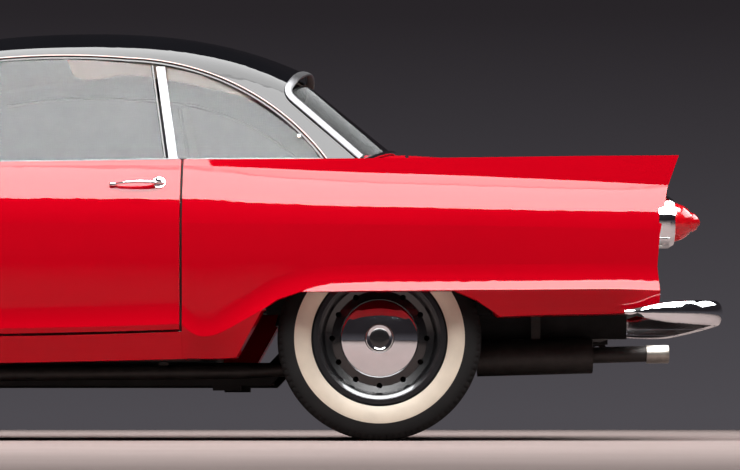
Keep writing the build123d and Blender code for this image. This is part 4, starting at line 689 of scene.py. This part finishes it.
def door_seals():
    """Rubber strips set back in the gaps round a door: behind it, ahead of it and under it."""
    strips = []
    for x in (DOOR_REAR_X - GAP / 2, DOOR_FRONT_X + GAP / 2):
        crease = float(columns(SIDES, x)[7])
        z = np.linspace(crease - DOOR_HEM - 4, float(top_z(x)) - 14, 40)
        upright = np.column_stack((np.full(40, x), skin_y(x, z) - SEAL_DEPTH, z))
        strips.append(sweep(upright, oval(5, 20, 12, 0.6), (0, 1, 0)))
    x = np.linspace(DOOR_REAR_X, DOOR_FRONT_X, 60)
    z = columns(SIDES, x)[7] - DOOR_HEM - GAP / 2
    level = np.column_stack((x, skin_y(x, z) - SEAL_DEPTH, z))
    strips.append(sweep(level, oval(20, 5, 12, 0.6)))
    return join(*strips)


piece("door_seals", both(door_seals()), "body", SEAL)
SPLASH_X, SPLASH_Y, SPLASH_FROM_Z, SPLASH_TO_Z, SPLASH_INSET = 1712, 470, 345, 800, 14


def splash_panel():
    """A flat dark wall ahead of the front wheel, from the inner wing out to just inside the skin."""
    height = np.linspace(SPLASH_FROM_Z, SPLASH_TO_Z, 40)
    z, t = np.meshgrid(height, np.linspace(0, 1, 20), indexing="ij")
    y = SPLASH_Y + t * (skin_y(SPLASH_X, z) - SPLASH_INSET - SPLASH_Y)
    return shell(np.stack((np.full(z.shape, float(SPLASH_X)), y, z), -1), 3, BEHIND)


piece("splash_panels", both(splash_panel()), "body", UNDER)

# Seats: crowned pads with sewn channels
PAD_ROWS, PAD_CROWN, CHANNEL_STEPS, CHANNEL_DEPTH, CHANNEL_WIDTH = 44, 0.22, 16, 11, 7


def pad(centre, size, lean, channels):
    """A soft-edged box, crowned in its middle.

    Each cross ring has a top drawn in along even channels, which fade at the ends, and a flat foot.
    """
    a = 0.985 * np.sin(np.linspace(-0.5, 0.5, PAD_ROWS) * math.pi)[:, None]
    b = np.linspace(-1, 1, channels * CHANNEL_STEPS + 1)[None, :]
    fall = ((1 - np.abs(a) ** 8) * (1 - np.abs(b) ** 12)) ** 0.35
    place = (b + 1) / 2 * channels
    off_seam = (place - np.round(place)) * size[1] / channels
    groove = CHANNEL_DEPTH * np.exp(-(off_seam / CHANNEL_WIDTH) ** 2) * np.clip(3.4 - 4 * np.abs(a), 0, 1)
    top = fall * (size[2] / 2 * (1 + PAD_CROWN * (1 - a**2) * (1 - b**2)) - groove)
    foot = (-fall * size[2] / 2)[:, -2:0:-1]
    x = np.broadcast_to(a * size[0] / 2, (PAD_ROWS, b.size * 2 - 2))
    y = np.broadcast_to(np.concatenate((b, b[:, -2:0:-1]), 1) * size[1] / 2, x.shape)
    z = np.concatenate((top, foot), 1)
    turn = math.radians(lean)
    cos, sin = math.cos(turn), math.sin(turn)
    return tube(np.stack((x * cos + z * sin, y, -x * sin + z * cos), -1) + np.array(centre))


SEAT_Y = 340
CUSHION = (0, SEAT_Y, 395), (430, 490, 125), -5, 9
BACKREST = (-318, SEAT_Y, 632), (370, 480, 95), 72, 9
REAR_CUSHION = (-620, 0, 540), (280, 1000, 105), -5, 18
REAR_BACK = (-825, 0, 705), (330, 1000, 90), 74, 18
cushions = piece("front_cushions", both(pad(*CUSHION)), "body", LEATHER, ("front_seats",))
backs = piece("front_backs", both(pad(*BACKREST)), "body", LEATHER)
bench = piece("rear_cushion", pad(*REAR_CUSHION), "body", LEATHER, ("rear_seat",))
rest = piece("rear_back", pad(*REAR_BACK), "body", LEATHER)
piece("seat_bases", both(block((-30, SEAT_Y, 304), (360, 430, 66), 0.15)), "body", UNDER)
piece("rear_seat_base", block((-680, 0, 500), (380, 990, 40), 0.15), "body", RED_HIDE)

# Inside: door cards, side trims, roof lining, carpet, steering and dials
RIB_PITCH = 48
DOOR_INNER_Y, DOOR_INNER_LEAN, DOOR_FOOT_Z = 684, 51, 330
CARD_REAR_X, CARD_FRONT_X, CARD_FROM_Z, CARD_TO_Z = -352, 618, 385, 838
CARD_RIBS_FROM_Z, CARD_RIBS_TO_Z = 470, 700
INWARD = (0, -1, 0)


def door_card():
    """A sheet on the door's leaning inner face, ribbed by a sine along the car."""
    x, z = np.meshgrid(np.linspace(CARD_REAR_X, CARD_FRONT_X, 160), np.linspace(CARD_FROM_Z, CARD_TO_Z, 40),
                       indexing="ij")
    inner = DOOR_INNER_Y + DOOR_INNER_LEAN * (top_z(x) - z) / (top_z(x) - DOOR_FOOT_Z)
    rib = 2.5 * np.abs(np.sin(x * math.pi / RIB_PITCH)) * (z < CARD_RIBS_TO_Z) * (z > CARD_RIBS_FROM_Z)
    return shell(np.stack((x, inner - 6 - rib, z), -1), 7, INWARD)


CARD = door_card()
ARM = join(block((-20, 676, 640), (330, 50, 40), 0.35), block((250, 690, 560), (26, 30, 26), 0.6))
CRANK_PATH = ((250, 676, 560), (252, 668, 540), (258, 662, 500), (262, 662, 480))
CRANK = sweep(CRANK_PATH, oval(10, 10, 12), AHEAD)
for side, name in HANDS:
    body = "door_" + name
    piece("door_card_" + name, flipped(CARD, side), body, LEATHER)
    piece("arm_rest_" + name, flipped(ARM, side), body, RED_HIDE)
    piece("winder_" + name, flipped(CRANK, side), body, CHROME)
TRIM_FRONT_X, TRIM_REAR_X, TRIM_FROM_Z, TRIM_TO_Z, TRIM_RIBS_TO_Z, TRIM_Y = -392, -790, 500, 858, 760, 660


def quarter_trim():
    """A flat sheet beside the rear seat, ribbed like the doors."""
    x, z = np.meshgrid(np.linspace(TRIM_FRONT_X, TRIM_REAR_X, 80), np.linspace(TRIM_FROM_Z, TRIM_TO_Z, 30),
                       indexing="ij")
    rib = 2.0 * np.abs(np.sin(x * math.pi / RIB_PITCH)) * (z < TRIM_RIBS_TO_Z)
    return shell(np.stack((x, TRIM_Y - rib, z), -1), 6, INWARD)


piece("quarter_trims", both(quarter_trim()), "body", LEATHER)
LINING_FRONT_X, LINING_REAR_X, LINING_DROP, LINING_REACH = 400, -690, 34, 0.55


def roof_lining():
    """The roof's section, lowered, between the windscreen's and the rear window's headers."""
    x, t = np.meshgrid(np.linspace(LINING_FRONT_X, LINING_REAR_X, 60), np.linspace(-1, 1, 60), indexing="ij")
    _, _, centre_y, _, corner_r, _, _ = roof_circles(x)
    y = t * (centre_y + LINING_REACH * corner_r)
    return shell(np.stack((x, y, roof_z(x, np.abs(y)) - LINING_DROP), -1), 4, (0, 0, -1))


piece("roof_lining", roof_lining(), "body", LINING)
CARPET_REAR_X, CARPET_FRONT_X, CARPET_HALF, CARPET_Z = -420, 690, 640, 273


def carpet():
    """A level sheet with a slight swell: a sine along the car times a cosine across it."""
    x, y = np.meshgrid(np.linspace(CARPET_REAR_X, CARPET_FRONT_X, 60),
                       np.linspace(-CARPET_HALF, CARPET_HALF, 60), indexing="ij")
    return shell(np.stack((x, y, CARPET_Z + 1.2 * np.sin(x / 37) * np.cos(y / 41)), -1), 4, (0, 0, 1))


piece("carpet", carpet(), "body", CARPET)
STEER_CENTRE = np.array((300, 340, 790))
STEER_AXIS = np.array((-math.cos(math.radians(30)), 0, 0.5))
RING_SECTION = oval(9, 9, 14) + (22, 105)
HORN_PROFILE = ((4, 0), (4, 41), (12, 41), (20, 36), (27, 22), (30, 0))
piece("horn_ring", lathe(RING_SECTION, STEER_CENTRE, STEER_AXIS, 72), "steering_wheel", CHROME)
piece("horn_cap", lathe(HORN_PROFILE, STEER_CENTRE, STEER_AXIS, 48), "steering_wheel", IVORY)
DIALS = [(519, y, 782) for y in (260, 340, 420)]
DIAL_RIM_PROFILE = ((-6, 30), (6, 30), (9, 33), (6, 36), (-6, 36))
DIAL_FACE_PROFILE = ((-6, 0), (2, 0), (2, 30), (-6, 30))
DIAL_RIMS = [lathe(DIAL_RIM_PROFILE, at, BEHIND, 40) for at in DIALS]
DIAL_FACES = [lathe(DIAL_FACE_PROFILE, at, BEHIND, 40) for at in DIALS]
piece("dial_rims", join(*DIAL_RIMS), "body", CHROME)
piece("dial_faces", join(*DIAL_FACES), "body", IVORY)

# Stage, light and camera. Boxes: name, centre, target, width, height, glow, seen as reflections alone
FLOOR_CORNERS = ((-9, -5.35, 0), (9, -5.35, 0), (9, 8.6, 0), (-9, 8.6, 0))
FLOOR = finish("floor", "pale_floor", (0.33, 0.268, 0.254), 0.6, patch=(1.5, 0.05), grain=(90, 0.1),
               gloss=0.0)
BOXES = (
    ("side_box", (-1.15, 4.57, 5.18), (-1.15, 2.96, 1.52), 6.7, 4.0, 21.0, True),
    ("join_box", (-1.55, 2.64, 6.03), (-1.55, 1.03, 2.37), 7.5, 0.24, 13.0, True),
    ("top_box", (-1.75, 0.74, 6.87), (-1.75, -0.87, 3.2), 8.5, 3.9, 16.0, True),
    ("nose_box", (7.5, -2.6, 3.6), (1.2, -0.3, 0.7), 4.0, 3.0, 4.5, True),
    ("tail_box", (-7.0, -0.6, 4.6), (-1.9, 0, 0.5), 7.0, 3.2, 6.0, True),
    ("key_fill", (0, 2.3, 4.1), (0, 0.75, 0.7), 10.0, 3.0, 5.3, False),
    ("far_fill", (0, -3.4, 3.2), (0, -0.7, 0.6), 10.0, 2.6, 2.2, False),
)
SURROUND = ((0.0, (0.075, 0.07, 0.08, 1)), (0.15, (0.021, 0.018, 0.021, 1)))


def studio():
    """A pale floor, soft boxes that only show as reflections, broad fills, and a dark surround."""
    mesh = bpy.data.meshes.new("floor")
    mesh.from_pydata(FLOOR_CORNERS, [], [(0, 1, 2, 3)])
    mesh.materials.append(FLOOR[1])
    floor = bpy.data.objects.new("floor", mesh)
    bpy.context.collection.objects.link(floor)
    for name, centre, target, width, height, glow, mirrored in BOXES:
        data = bpy.data.lights.new(name, "AREA")
        data.shape = "RECTANGLE"
        data.size, data.size_y = width, height
        data.energy = 4 * width * height * glow
        lamp = bpy.data.objects.new(name, data)
        bpy.context.collection.objects.link(lamp)
        lamp.location = centre
        lamp.visible_glossy = mirrored
        lamp.visible_diffuse = not mirrored
        lamp.rotation_euler = (Vector(target) - Vector(centre)).to_track_quat("-Z", "Y").to_euler()
    world = bpy.data.worlds.new("surround")
    bpy.context.scene.world = world
    world.use_nodes = True
    tree = world.node_tree
    place = tree.nodes.new("ShaderNodeTexCoord")
    split = tree.nodes.new("ShaderNodeSeparateXYZ")
    ramp = tree.nodes.new("ShaderNodeValToRGB")
    for stop, (position, colour) in zip(ramp.color_ramp.elements, SURROUND):
        stop.position = position
        stop.color = colour
    tree.links.new(place.outputs["Generated"], split.inputs["Vector"])
    tree.links.new(split.outputs["Z"], ramp.inputs["Fac"])
    tree.links.new(ramp.outputs["Color"], tree.nodes["Background"].inputs["Color"])


CAMERA_PLACE = (-0.9654, 9.045, 0.081)
CAMERA_PITCH = 3.86
CAMERA_LENS, CAMERA_SENSOR = 129.65, 36


def photographer():
    """A long lens close to the floor, square to the car's left side."""
    data = bpy.data.cameras.new("camera")
    data.sensor_width = CAMERA_SENSOR
    data.lens = CAMERA_LENS
    camera = bpy.data.objects.new("camera", data)
    bpy.context.collection.objects.link(camera)
    camera.location = CAMERA_PLACE
    camera.rotation_euler = (math.radians(90 + CAMERA_PITCH), 0, math.pi)
    bpy.context.scene.camera = camera
    bpy.context.scene.view_settings.view_transform = "Standard"


studio()
photographer()
